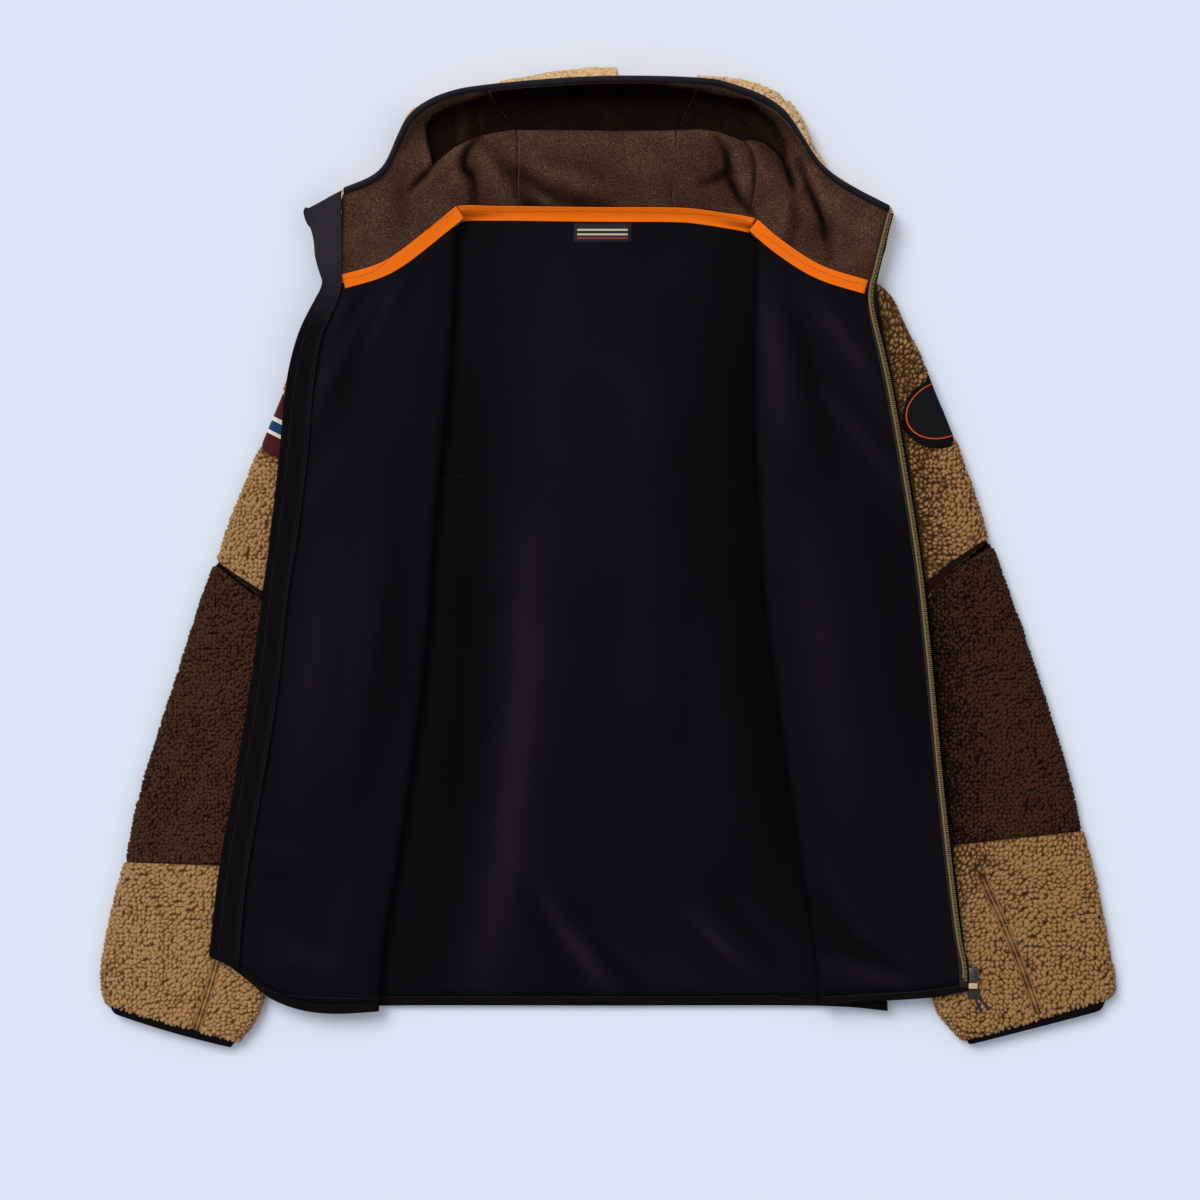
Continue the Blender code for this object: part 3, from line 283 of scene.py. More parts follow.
def noise(material, scale, detail=2.0, stretch=(1, 1, 1), turn=0.0):
    made = add_node(material, "ShaderNodeTexNoise")
    made.inputs["Scale"].default_value = scale
    made.inputs["Detail"].default_value = detail
    link(material, object_place(material, stretch, turn), made.inputs["Vector"])
    return made.outputs["Fac"]


def ribs(material, spacing, turn):
    """Straight ribs at a real spacing, as in twill."""
    made = add_node(material, "ShaderNodeTexWave")
    made.inputs["Scale"].default_value = math.pi / (10 * spacing)
    made.inputs["Distortion"].default_value = 0.6
    made.inputs["Detail"].default_value = 1.0
    link(material, object_place(material, turn=turn), made.inputs["Vector"])
    return made.outputs["Fac"]


def colours(material, source, stops, sharp=False):
    """Colour ramp from rows of (place, colour), with sharp or soft steps between them."""
    ramp = add_node(material, "ShaderNodeValToRGB")
    if sharp:
        ramp.color_ramp.interpolation = "CONSTANT"
    for k, (place, colour) in enumerate(stops):
        stop = ramp.color_ramp.elements[k] if k < 2 else ramp.color_ramp.elements.new(place)
        stop.position = place
        stop.color = (*colour, 1.0)
    link(material, source, ramp.inputs["Fac"])
    return ramp.outputs["Color"]


def scaled_sum(material, source, factor, added):
    """source * factor + added, where the last is a number or another socket."""
    made = add_node(material, "ShaderNodeMath", operation="MULTIPLY_ADD")
    made.inputs[1].default_value = factor
    link(material, source, made.inputs[0])
    if isinstance(added, float):
        made.inputs[2].default_value = added
    else:
        link(material, added, made.inputs[2])
    return made.outputs[0]


def bump(material, source, height, strength=1.0):
    """Bends the surface by a pattern, on top of what already bends it."""
    made = add_node(material, "ShaderNodeBump")
    made.inputs["Distance"].default_value = height
    made.inputs["Strength"].default_value = strength
    shader = shader_of(material)
    if shader.inputs["Normal"].is_linked:
        before = shader.inputs["Normal"].links[0].from_socket
        link(material, before, made.inputs["Normal"])
    link(material, source, made.inputs["Height"])
    link(material, made.outputs["Normal"], shader.inputs["Normal"])


def paint(material, colour_socket):
    link(material, colour_socket, shader_of(material).inputs["Base Color"])


print("floor material's nodes:", [node.name for node in floor.data.materials[0].node_tree.nodes])

# %% Woven cloth
TWILL_TURN = 0.785  # the ribs of twill run across the cloth at half a right angle


def woven(name, dark, light, spacing, roughness, sheen, turn=TWILL_TURN, height=0.12):
    """Cloth with visible ribs: two near colours in the ribs and a slower unevenness."""
    made = new_material(name, dark, roughness, sheen)
    rib = ribs(made, spacing, turn)
    paint(made, colours(made, rib, [(0.25, dark), (0.8, light)]))
    bump(made, rib, height * MM, 0.6)
    bump(made, noise(made, 90, 3.0), 0.5 * MM, 0.35)
    return made


def shaded_by_lit(material, tone):
    """Multiplies a colour by the attribute lit, which holds painted light and shade: 1 in the open, less
    deep in a fold, more where light is painted on.
    """
    lit = add_node(material, "ShaderNodeAttribute", attribute_name="lit")
    deep = add_node(material, "ShaderNodeMix", data_type="RGBA", blend_type="MULTIPLY")
    deep.inputs["Factor"].default_value = 1.0
    link(material, tone, deep.inputs["A"])
    link(material, lit.outputs["Fac"], deep.inputs["B"])
    paint(material, deep.outputs["Result"])


def store(piece, name, values):
    """Keeps a value for each point of a piece, which its material reads."""
    kept = piece.data.attributes.get(name) or piece.data.attributes.new(name, "FLOAT", "POINT")
    kept.data.foreach_set("value", np.broadcast_to(values, len(piece.data.vertices)).astype(np.float32))


LINING = woven("lining", linear(13, 10, 13), linear(17, 13, 18), 0.5 * MM, 0.5, 0.0, height=0.05)
FLAP_CLOTH = woven("flap_cloth", linear(11, 9, 11), linear(17, 15, 17), 0.8 * MM, 0.6, 0.0)
for cloth in (LINING, FLAP_CLOTH):
    shaded_by_lit(cloth, cloth.node_tree.nodes["Color Ramp"].outputs["Color"])
TAPE = woven("orange_tape", linear(232, 92, 4), linear(255, 128, 14), 1.1 * MM, 0.7, 0.0, 0.95, 0.2)
ZIP_TAPE = woven("zip_tape", linear(26, 22, 18), linear(44, 38, 30), 0.9 * MM, 0.65, 0.0, 0.0)
ZIP_COIL = woven("zip_coil", linear(88, 70, 38), linear(150, 122, 74), 1.3 * MM, 0.5, 0.0, 1.571, 0.3)
BINDING = woven("hem_binding", linear(9, 7, 8), linear(18, 15, 16), 0.9 * MM, 0.7, 0.0, 0.3)
HOOD_BINDING = woven("hood_binding", linear(14, 13, 18), linear(30, 28, 36), 0.9 * MM, 0.6, 0.03, 0.3)
GLOSS = (
    (LINING, 0.02), (FLAP_CLOTH, 0.015), (TAPE, 0.1), (ZIP_TAPE, 0.1), (ZIP_COIL, 0.35),
    (BINDING, 0.03), (HOOD_BINDING, 0.12),
)
for cloth, gloss in GLOSS:
    shader_of(cloth).inputs["Specular IOR Level"].default_value = gloss
print("woven cloths:", [cloth.name for cloth, gloss in GLOSS])

# %% [markdown]
# ## Brushed fleece
# The hood is lined with thin fleece whose surface was brushed until its fibres stood up. It has
# no ribs, so two noises stand for it: a fine one for single fibres, which also bends the
# surface, and a slow one for the patches where a hand has stroked it.

# %% Brushed fleece
FIBRE_SCALE, STROKE_SCALE = 880, 45


def microfleece():
    """Brushed fleece: a soft nap with pale specks where fibres stand up, dark where it is deep."""
    made = new_material("microfleece", linear(68, 44, 34), 0.95, 0.0, 0.03)
    nap = noise(made, FIBRE_SCALE, 4.0)
    mix = scaled_sum(made, noise(made, STROKE_SCALE, 2.0), 0.25, nap)
    tone = colours(made, mix, [
        (0.38, linear(43, 26, 18)), (0.62, linear(68, 44, 33)), (0.86, linear(110, 80, 64)),
    ])
    # painted light and shade: lit darkens the creases and the hollow of the hood, and lightens their ridges
    shaded_by_lit(made, tone)
    bump(made, nap, 0.9 * MM, 0.9)
    return made


FLEECE = microfleece()
print("nodes of the fleece:", len(FLEECE.node_tree.nodes))

# %% [markdown]
# ## Materials of the pile
# The outside is a knitted fleece whose yarn has been brushed and tumbled into small curls. Their
# tips are painted pale and the gaps between them dark, as painted light and shade. The curls are
# made as real bumps below, and every point keeps a value called nap, 0 deep in a gap and 1 on a
# tip. The material reads that value for its colour, so colour and shape always agree, and adds the
# finest crimp with a bump.

# %% Pile materials
PATCH_SCALE = 22  # broad paler and darker patches
PATCH_SHARE, CRIMP_SHARE = 0.22, 0.3  # how much those and the finest crimp add to the nap


def pile_material(name, shadow, middle, tip, crimp):
    """Fleece coloured by its nap, from the shadow between the curls to their tips."""
    made = new_material(name, middle, 0.95, 0.06, 0.06)
    nap = add_node(made, "ShaderNodeAttribute", attribute_name="nap")
    grain = noise(made, crimp, 3.0)
    mixed = scaled_sum(made, noise(made, PATCH_SCALE, 2.0), PATCH_SHARE, nap.outputs["Fac"])
    crimped = scaled_sum(made, grain, CRIMP_SHARE, mixed)
    paint(made, colours(made, crimped, [(0.32, shadow), (0.66, middle), (1.0, tip)]))
    bump(made, grain, 0.7 * MM, 0.8)
    return made


TAN_PILE = pile_material(
    "tan_pile", linear(76, 47, 22), linear(121, 86, 51), linear(176, 133, 88), 900
)
# a darker copy of the tan pile for the right sleeve: painted shade on the side away from the lamp
TAN_PILE_PAINTED_SHADE = pile_material(
    "tan_pile_right", linear(62, 38, 18), linear(97, 68, 39), linear(162, 121, 77), 900
)
TAN_PILE_HOOD = pile_material(
    "tan_pile_hood", linear(128, 84, 46), linear(188, 142, 95), linear(232, 190, 140), 900
)
BROWN_PILE = pile_material(
    "brown_pile", linear(20, 10, 5), linear(39, 21, 12), linear(74, 46, 32), 1200
)
# a darker copy of the brown pile for the right sleeve: painted shade as well
BROWN_PILE_PAINTED_SHADE = pile_material(
    "brown_pile_right", linear(11, 5, 3), linear(29, 15, 8), linear(64, 39, 26), 1200
)
print("pile materials:", [m.name for m in bpy.data.materials if "pile" in m.name])

# %% [markdown]
# ## A field of curls
# The pile stands in small curls that lean all ways. Hair would be far too much to export, and
# an even pattern of bumps would look printed. So a curl is a low dome round a centre that is
# scattered in its own cell, as stones are in a cobbled street. The nearest centre gives a
# point its dome, and where a second one is almost as near there is a dark gap. Each dome is
# longer one way than the other, and a slow noise turns it, so that curls side by side lean
# together. Another noise makes whole tufts higher or lower.

# %% A field of curls
FIELD = 61  # cells in each direction before the field starts again
CENTRES = np.random.default_rng(7).random((FIELD, FIELD, 3))  # a curl's place in its cell, and its tone
SCATTER = 0.8  # the share of its cell in which a centre may lie
CURL_LONG, CURL_SHORT = 1.32, 0.78
CURL_LIT_SIDE = (-0.25, 0.3)  # each curl is painted palest on its side towards the lamp, as painted light
CURL_TURN, TURN_REACH, TURN_MOST = 0.9, 9, 2.6  # in radians, in cells and in radians
TUFT_REACH, TUFT_MOST = 3.6, 0.32
GAP_WIDTH, DOME_WIDTH = 0.42, 0.9
FAR_AWAY = 9.0


def smooth_step(value, low, high):
    """0 below low, 1 above high and a soft rise between them."""
    share = min(1.0, max(0.0, (value - low) / (high - low)))
    return share * share * (3 - 2 * share)


def field_of(points, size, scale):
    """Smooth random values, one for each point."""
    spots = points / size
    return scale * np.array([field_noise.noise(Vector(spot)) for spot in spots])


def nearest_curls(flat, turn):
    """Distances to the nearest two centres, and the tone and the lit side of the nearest curl."""
    cos, sin = np.cos(turn), np.sin(turn)
    base = np.floor(flat).astype(int)
    nearest = np.full(len(flat), FAR_AWAY)
    second = nearest.copy()
    tone, lit = np.zeros(len(flat)), np.zeros(len(flat))
    for step_x in range(-2, 3):
        for step_y in range(-2, 3):
            column, row = base[:, 0] + step_x, base[:, 1] + step_y
            centre = CENTRES[column % FIELD, row % FIELD]
            away_x = flat[:, 0] - column - 0.1 - SCATTER * centre[:, 0]
            away_y = flat[:, 1] - row - 0.1 - SCATTER * centre[:, 1]
            distance = np.hypot((cos * away_x + sin * away_y) / CURL_LONG,
                                (cos * away_y - sin * away_x) / CURL_SHORT)
            second = np.minimum(second, np.maximum(nearest, distance))
            closer = distance < nearest
            tone = np.where(closer, centre[:, 2], tone)
            lit = np.where(closer, away_x * CURL_LIT_SIDE[0] + away_y * CURL_LIT_SIDE[1], lit)
            nearest = np.where(closer, distance, nearest)
    return nearest, second, tone, lit


def curl_heights(skin, cell):
    """Height and tone of the curls at each point of a skin, 0 to 1."""
    points = points_of(skin)
    outward = np.array([v.normal.xy for v in skin.data.vertices])
    depth = points[:, 2].max() - points[:, 2]
    unrolled = points[:, :2] + depth[:, None] * np.clip(1.5 * outward, -1, 1)  # the sides lie flat too
    turn = CURL_TURN + field_of(points, TURN_REACH * cell, TURN_MOST)
    nearest, second, tone, lit = nearest_curls(unrolled / cell, turn)
    gap = np.clip((second - nearest) / GAP_WIDTH, 0, 1)
    gap = gap * gap * (3 - 2 * gap)
    dome = np.clip(1 - (nearest / DOME_WIDTH) ** 2, 0, 1)
    tuft = field_of(points, TUFT_REACH * cell, TUFT_MOST)
    level = np.clip((0.15 + 0.85 * dome) * (0.35 + 0.65 * gap) * (1 + tuft), 0, 1)
    # nap paints the gaps dark and the tips pale over the real bumps, as painted shade and light, with each
    # curl's painted lit side and a random tone
    return level, np.clip(0.09 + 0.92 * level + lit + 0.24 * (tone - 0.5), 0, 1.2)


print("curl centres:", CENTRES.shape[0] * CENTRES.shape[1])

# %% [markdown]
# ## Routes
# Seams, folds and edges are long smooth lines. Each is given by a few stops that were read off
# the photograph, and a smooth curve through them is cut into as many even steps as a piece
# needs. A second tool turns this round: it says how far any point of the cloth lies from a
# route, and how far along it, which is what a fold or a pressed seam is made from.

# %% Routes
SPAN_STEPS = 12  # between two stops, before the steps are made even
NO_LENGTH = 1e-9


def smooth_route(stops, count):
    """Evenly spaced points on a smooth curve through the stops."""
    ends = [stops[0] * 2 - stops[1], *stops, stops[-1] * 2 - stops[-2]]
    dense = []
    for a, b, c, d in zip(ends, ends[1:], ends[2:], ends[3:]):
        for k in range(SPAN_STEPS):
            t = k / SPAN_STEPS
            dense.append(0.5 * (2 * b + (c - a) * t + (2 * a - 5 * b + 4 * c - d) * t**2
                                + (3 * b - a - 3 * c + d) * t**3))
    dense.append(stops[-1].copy())
    run = [0.0]
    for a, b in zip(dense, dense[1:]):
        run.append(run[-1] + (b - a).length)
    points, k = [], 0
    for step in range(count + 1):
        goal = run[-1] * step / count
        while k < len(dense) - 2 and run[k + 1] < goal:
            k += 1
        share = (goal - run[k]) / max(run[k + 1] - run[k], NO_LENGTH)
        points.append(dense[k].lerp(dense[k + 1], share))
    return points


def photo_route(stops, count):
    """The same from rows of photograph pixels, with an optional height in mm."""
    return smooth_route([from_photo(x, y, (z[0] if z else 0) * MM) for x, y, *z in stops], count)


def at_height(stops, height):
    """Pixels of a route, all at one height in mm."""
    return [(x, y, height) for x, y in stops]


def route_shares(points, route):
    """Distance from each point to a route in plan, and how far along it the nearest place is."""
    best = np.full(len(points), np.inf)
    along = np.zeros(len(points))
    lengths = [(b - a).xy.length for a, b in zip(route, route[1:])]
    done = 0.0
    for a, b, length in zip(route, route[1:], lengths):
        start, step = np.array(a.xy), np.array((b - a).xy)
        share = np.clip((points - start) @ step / (step @ step), 0, 1)
        away = np.linalg.norm(points - start - share[:, None] * step, axis=1)
        nearer = away < best
        best[nearer] = away[nearer]
        along[nearer] = ((done + share * length) / sum(lengths))[nearer]
        done += length
    return best, along


print("a route of 10 steps:", len(photo_route([(0, 0), (50, 10), (100, 0)], 10)), "points")

# %% [markdown]
# ## Skins of curls
# Each sleeve panel is a flattened tube of fleece. Its solid stays, as the knitted ground of the
# cloth, and a skin of curls is laid over it. The skin starts as a copy of the panel without its
# hollow, and a voxel remesh divides it evenly into faces of little more than a millimetre.
# Every point is then pushed out along its normal by the field of curls. Near a seam the curls
# are short, because the stitches pull them in, and beside a pressed seam they lie quite flat.

# %% Seams that press the pile
CUFF_SEAMS = {
    "left_sleeve_cuff": [(218, 958), (209, 990), (195, 1029)],
    "right_sleeve_cuff": [(982, 876), (990, 894), (1003, 922), (1022, 968), (1038, 1012)],
}
ELBOW_BANDS = {
    "left": [(214.5, 565), (220, 569), (236, 579.5), (263, 596.5)],
    "right": [(921, 595.5), (936.5, 580.5), (957.5, 563.5), (985, 546), (990, 543.5)],
}
PRESSED = {
    **CUFF_SEAMS,
    "left_sleeve_upper": ELBOW_BANDS["left"],
    "right_sleeve_upper": ELBOW_BANDS["right"],
    "right_sleeve_elbow": ELBOW_BANDS["right"],
}
# painted shade on the right sleeve along the front edge, and how far it reaches
ZIP_SHADE = [(885, 290), (897, 380), (908, 470), (922, 600), (941, 780), (953, 870)]
ZIP_SHADE_REACH = 55 * MM
print("panels with a pressed seam:", len(PRESSED))

# %% Filled copies
HOLLOW = 4.0 * MM  # a face that looks at another one within this distance is inside the tube
JUST_OFF = 0.02 * MM
INSIDE = 0.3 * MM  # a resting point of a skin is drawn this far into its solid
ON_GROUND = 0.001 * MM


def filled_copy(node, voxel):
    """The outer surface of a tube's solid, closed and evenly divided."""
    bm = merged_copy(node)
    tree = BVHTree.FromBMesh(bm)
    inner = []
    for face in bm.faces:
        start = face.calc_center_median() + face.normal * JUST_OFF
        if tree.ray_cast(start, face.normal, HOLLOW)[0]:
            inner.append(face)
    bmesh.ops.delete(bm, geom=inner, context="FACES")
    rims = [edge for edge in bm.edges if edge.is_boundary]
    bmesh.ops.holes_fill(bm, edges=rims, sides=0)
    skin = put_object(node + "_pile", mesh_of(bm, node + "_skin"), TAN_PILE)
    even = skin.modifiers.new("even", "REMESH")
    even.mode = "VOXEL"
    even.voxel_size = voxel
    return bake(skin)


def flatten_rest(skin):
    """Where the skin rests on the ground it needs only a few triangles."""
    bm = bmesh.new()
    bm.from_mesh(skin.data)
    resting = [v for v in bm.verts if abs(v.co.z - INSIDE) < ON_GROUND]  # in order, so each run is the same
    known = set(resting)
    between = [e for e in bm.edges if known.issuperset(e.verts)]
    bmesh.ops.dissolve_limit(bm, angle_limit=0.01, verts=resting, edges=between)
    bmesh.ops.triangulate(bm, faces=[f for f in bm.faces if len(f.verts) > 4])
    bm.to_mesh(skin.data)
    bm.free()


def rests(place, normal):
    """Whether a point of a skin lies on the ground."""
    return place.z < 0.5 * MM and normal.z < -0.8


def clothe(skin, material):
    """Gives a finished skin its fleece and lets it ride with the jacket."""
    skin.data.materials.clear()
    skin.data.materials.append(material)
    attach(skin, "jacket")


print("tubes of the sleeves:", len([node for node in nodes if "sleeve" in node]))

# %% Curls on a skin
SEAM_GAP = 3.8 * MM
PRESSED_HALF = 3.2 * MM
PRESSED_MARGIN = 2.5 * MM
SHADE_DEPTH = 0.4
ROUTE_STEPS = 20


def seam_share(point, trees, reach):
    """0 on a seam with one of the neighbours, 1 away from it."""
    share = 1.0
    for tree in trees:
        found = tree.find_nearest(point, reach)[3]
        if found is not None:
            share = min(share, smooth_step(found, 0.4 * MM, reach))
    return share


def curl_skin(skin, cell, low, high, neighbours, reach=4.0 * MM, pressed=None):
    """Pushes a skin out into curls, and stores their nap, which also carries painted light and shade."""
    trees = [tree_of(nodes[name]) for name in neighbours]
    mesh = skin.data
    normals = [v.normal.copy() for v in mesh.vertices]
    levels, tones = curl_heights(skin, cell)
    beside = np.full(len(mesh.vertices), 1.0)
    if "right" in skin.name:  # painted shade: the sleeve is darker where it comes out under the front edge
        away = route_shares(points_of(skin)[:, :2], photo_route(ZIP_SHADE, ROUTE_STEPS))[0]
        tones = tones - SHADE_DEPTH * np.clip(1 - away / ZIP_SHADE_REACH, 0, 1) ** 1.5
    if pressed:
        away = route_shares(points_of(skin)[:, :2], photo_route(pressed, ROUTE_STEPS))[0]
        beside = np.clip((away - PRESSED_HALF) / PRESSED_MARGIN, 0, 1)
    naps = []
    for vertex, normal, open_share, level, tone in zip(mesh.vertices, normals, beside, levels, tones):
        place = vertex.co.copy()
        free = seam_share(place, trees, reach) * open_share
        level *= 0.15 + 0.85 * free
        lean = field_noise.noise_vector(place / (1.3 * cell)) * 0.35 * cell * free
        lean -= normal * lean.dot(normal)
        rise = (low + (high - low) * level) * (0.12 + 0.88 * free)
        moved = place + normal * rise + lean * level
        for tree in trees:
            found, _, _, gap = tree.find_nearest(place, SEAM_GAP)
            if found and (found - place).dot(normal) > 0.6 * gap:
                moved = place + normal * (0.5 * gap + 0.3 * MM)
        if rests(place, normal):
            moved = Vector((place.x, place.y, INSIDE))
        moved.z = max(moved.z, JUST_OFF)
        vertex.co = moved
        # painted shade: the nap is darker near a seam, and less so where the pile lies pressed flat
        naps.append(tone * (0.4 + 0.6 * free) + 0.3 * (1 - open_share))
    store(skin, "nap", naps)
    flatten_rest(skin)


print("pile beside a seam is pressed over", round((PRESSED_HALF + PRESSED_MARGIN) / MM, 1), "mm")

# %% Pile of the sleeves
PILE_VOXEL = 1.15 * MM
SLEEVE_CURLS = [
    # panel, material, curl size in mm, lowest and highest in mm, neighbours
    ("left_sleeve_upper", TAN_PILE, 4.0, -0.5, 2.9,
     ["left_sleeve_elbow", "left_front", "back", "stripe_patch"]),
    ("left_sleeve_elbow", BROWN_PILE, 3.5, -0.3, 2.7, ["left_sleeve_upper", "left_sleeve_cuff"]),
    ("left_sleeve_cuff", TAN_PILE, 4.0, -0.5, 2.9, ["left_sleeve_elbow"]),
    ("right_sleeve_upper", TAN_PILE_PAINTED_SHADE, 4.3, -0.5, 2.9,
     ["right_sleeve_elbow", "right_front", "back", "oval_patch"]),
    ("right_sleeve_elbow", BROWN_PILE_PAINTED_SHADE, 3.7, -0.3, 2.7, ["right_sleeve_upper", "right_sleeve_cuff"]),
    ("right_sleeve_cuff", TAN_PILE_PAINTED_SHADE, 4.3, -0.5, 2.9, ["right_sleeve_elbow"]),
]
SHOULDER_TOP, SHOULDER_REACH = (883, 306), 40 * MM  # the right shoulder is drawn up a little
SHOULDER_MOVE = (-0.0035, 0.0185, 0.0)


def dress(node, material):
    """Gives a solid that stays in sight its finish."""
    nodes[node].data.materials.clear()
    nodes[node].data.materials.append(material)


def draw_up_shoulder(skin):
    points = points_of(skin)
    away = np.linalg.norm(points[:, :2] - np.array(from_photo(*SHOULDER_TOP).xy), axis=1)
    share = np.clip(1 - away / SHOULDER_REACH, 0, 1) ** 1.3
    set_points(skin, points + share[:, None] * np.array(SHOULDER_MOVE))


for node, material, cell, low, high, neighbours in SLEEVE_CURLS:
    skin = filled_copy(node, PILE_VOXEL)
    curl_skin(skin, cell * MM, low * MM, high * MM, neighbours, pressed=PRESSED.get(node))
    if node == "right_sleeve_upper":
        draw_up_shoulder(skin)
    clothe(skin, material)
    dress(node, material)
    print(skin.name, "triangles", sum(len(f.vertices) - 2 for f in skin.data.polygons))

# %% [markdown]
# ## Creases
# Smooth lining shows soft folds where it was pulled by a seam or turned over. Each fold is
# described by the route that it takes in the photograph, how wide it is, and how far it rises
# or sinks. Its height falls off like a bell to both sides and dies away at its ends, and all
# folds of a piece are added together. This gives long, uneven folds exactly where they are
# wanted, which a cloth simulation would not.

# %% Folds along routes
WAVE_SIZE, WAVE_LAYER = 60 * MM, 2.5
# painted light and shade: how fast lit grows with a fold's rise and with a listed shade, and its lowest and
# highest values
LIGHT_OF_LIFT, LIGHT_OF_SHADE = 300, 1250
DARKEST, LIGHTEST = 0.22, 2.8


def fold_heights(points, folds):
    """Height of all folds together at each point, in metres."""
    total = np.zeros(len(points))
    for height, width, *stops in folds:
        route = [from_photo(px, py) for px, py in stops]
        away, along = route_shares(points, route)
        fading = np.sin(np.pi * np.clip(0.12 + 0.76 * along, 0, 1)) ** 0.8
        total += height * MM * np.exp(-((away / (width * MM)) ** 2)) * fading
    return total


def unevenness(points, height):
    """A slow, low waviness, as no cloth lies quite flat."""
    spots = [Vector((x / WAVE_SIZE, y / WAVE_SIZE, WAVE_LAYER)) for x, y in points]
    return np.array([field_noise.noise(spot) for spot in spots]) * height


def fold_cloth(piece, folds, waves, lowest, above=None, shades=()):
    """Raises and sinks the cloth, never further down than the layer below allows; given shades, it stores
    painted light and shade as lit.
    """
    points = points_of(piece)
    lift = fold_heights(points[:, :2], folds) + unevenness(points[:, :2], waves)
    if shades:
        light = 1 + LIGHT_OF_LIFT * lift + LIGHT_OF_SHADE * fold_heights(points[:, :2], shades)
        store(piece, "lit", np.clip(light, DARKEST, LIGHTEST))
    share = 1.0 if above is None else np.clip((points[:, 2] - above[0]) / (above[1] - above[0]), 0, 1)
    points[:, 2] += np.maximum(lift + waves, lowest) * share
    set_points(piece, points)


low_fold = [(1.0, 10, (0, 0), (100, 0))]
middle_of_fold = np.array([from_photo(50, 0).xy])
print("the middle of a fold of 1 mm, in metres:", fold_heights(middle_of_fold, low_fold))

# %% [markdown]
# ## Lining of the back
# The body is lined with smooth black polyester. It lies on the fleece of the back in one panel,
# with a long soft ridge in its left half and a fan of short folds where the hem pulls it.

# %% Lining of the back
BACK_FOLDS = [
    # height and half width in mm, then the route in the photograph
    (2.4, 15, (530, 540), (527, 680), (508, 860), (484, 978)),
    (-1.0, 9, (522, 890), (545, 945), (572, 992)),
    (1.8, 8, (578, 935), (598, 965), (618, 992)),
    (1.6, 9, (598, 935), (630, 962), (664, 988)),
    (1.4, 8, (660, 960), (684, 976), (708, 992)),
    (1.7, 9, (742, 908), (768, 935), (794, 958)),
    (1.2, 22, (640, 330), (655, 520), (648, 700)),
    (1.4, 26, (560, 250), (545, 400), (552, 540)),
    (1.2, 16, (700, 560), (712, 680), (722, 800)),
    (2.2, 6, (548, 905), (572, 945), (600, 985)),
    (1.9, 5, (690, 915), (724, 950), (752, 972)),
]
BACK_SHADES = [  # how much painted light or painted shade, and half width in mm
    (-0.62, 26, (455, 380), (464, 560), (462, 720), (440, 860), (420, 970)),
    (-0.75, 30, (748, 260), (748, 420), (758, 600), (770, 760), (790, 900)),
    (-0.30, 40, (690, 380), (690, 560), (705, 720)),
    (0.45, 26, (530, 520), (528, 680), (508, 860), (484, 985)),
    (0.25, 50, (560, 240), (600, 380), (600, 520)),
    (0.45, 10, (548, 895), (572, 940), (604, 990)),
    (-0.35, 12, (566, 900), (600, 950), (640, 985)),
    (0.40, 10, (690, 905), (724, 945), (756, 976)),
    (-0.35, 12, (716, 890), (748, 930), (780, 955)),
]
back_lining = fine_copy("back_lining", "back_lining_cloth", LINING, 3)
fold_cloth(back_lining, BACK_FOLDS, 0.5 * MM, 0.0, shades=BACK_SHADES)
print("back lining faces:", len(back_lining.data.polygons))

# %% [markdown]
# ## Linings of the fronts
# Each front is turned outwards over itself, so its lining lies uppermost and wraps the fold at
# the inner side. Folds fan out from the orange tape at the neck, where the cloth is eased into
# the seam, and a few short ones run in from the zip and the hem. Only the upper layer is
# shaped: the height share keeps the layer that lies underneath as it is.

# %% Linings of the fronts
UPPER_LAYER = (14 * MM, 20 * MM)
LEFT_FOLDS = [
    (1.9, 9, (384, 292), (358, 330), (326, 384), (312, 430)),
    (1.3, 5, (350, 292), (341, 312), (334, 330)),
    (-0.8, 4, (364, 296), (352, 318), (346, 334)),
    (1.5, 6, (402, 282), (388, 310), (372, 345)),
    (-0.8, 5, (420, 272), (408, 300), (396, 330)),
    (1.6, 10, (340, 455), (322, 482), (306, 512)),
    (1.0, 7, (250, 842), (280, 848), (306, 856)),
    (-0.8, 5, (262, 876), (285, 879), (308, 886)),
    (1.2, 8, (270, 962), (300, 960), (338, 972)),
    (1.4, 20, (380, 480), (372, 620), (352, 760)),
    (1.2, 16, (330, 560), (312, 690), (296, 800)),
    (1.0, 10, (352, 880), (340, 930), (330, 975)),
]
RIGHT_FOLDS = [
    (1.8, 12, (766, 286), (774, 350), (784, 432)),
    (1.6, 9, (806, 292), (838, 332), (878, 384)),
    (1.4, 9, (826, 396), (858, 432), (898, 480)),
    (-0.8, 6, (790, 300), (806, 350), (816, 400)),
    (-0.9, 6, (816, 944), (848, 974), (890, 988)),
    (1.5, 7, (842, 962), (870, 974), (904, 982)),
    (1.2, 7, (862, 930), (890, 950), (918, 962)),
    (1.3, 18, (800, 520), (822, 660), (842, 800)),
    (1.2, 14, (862, 560), (878, 680), (896, 790)),
    (1.0, 9, (826, 860), (842, 900), (862, 930)),
]
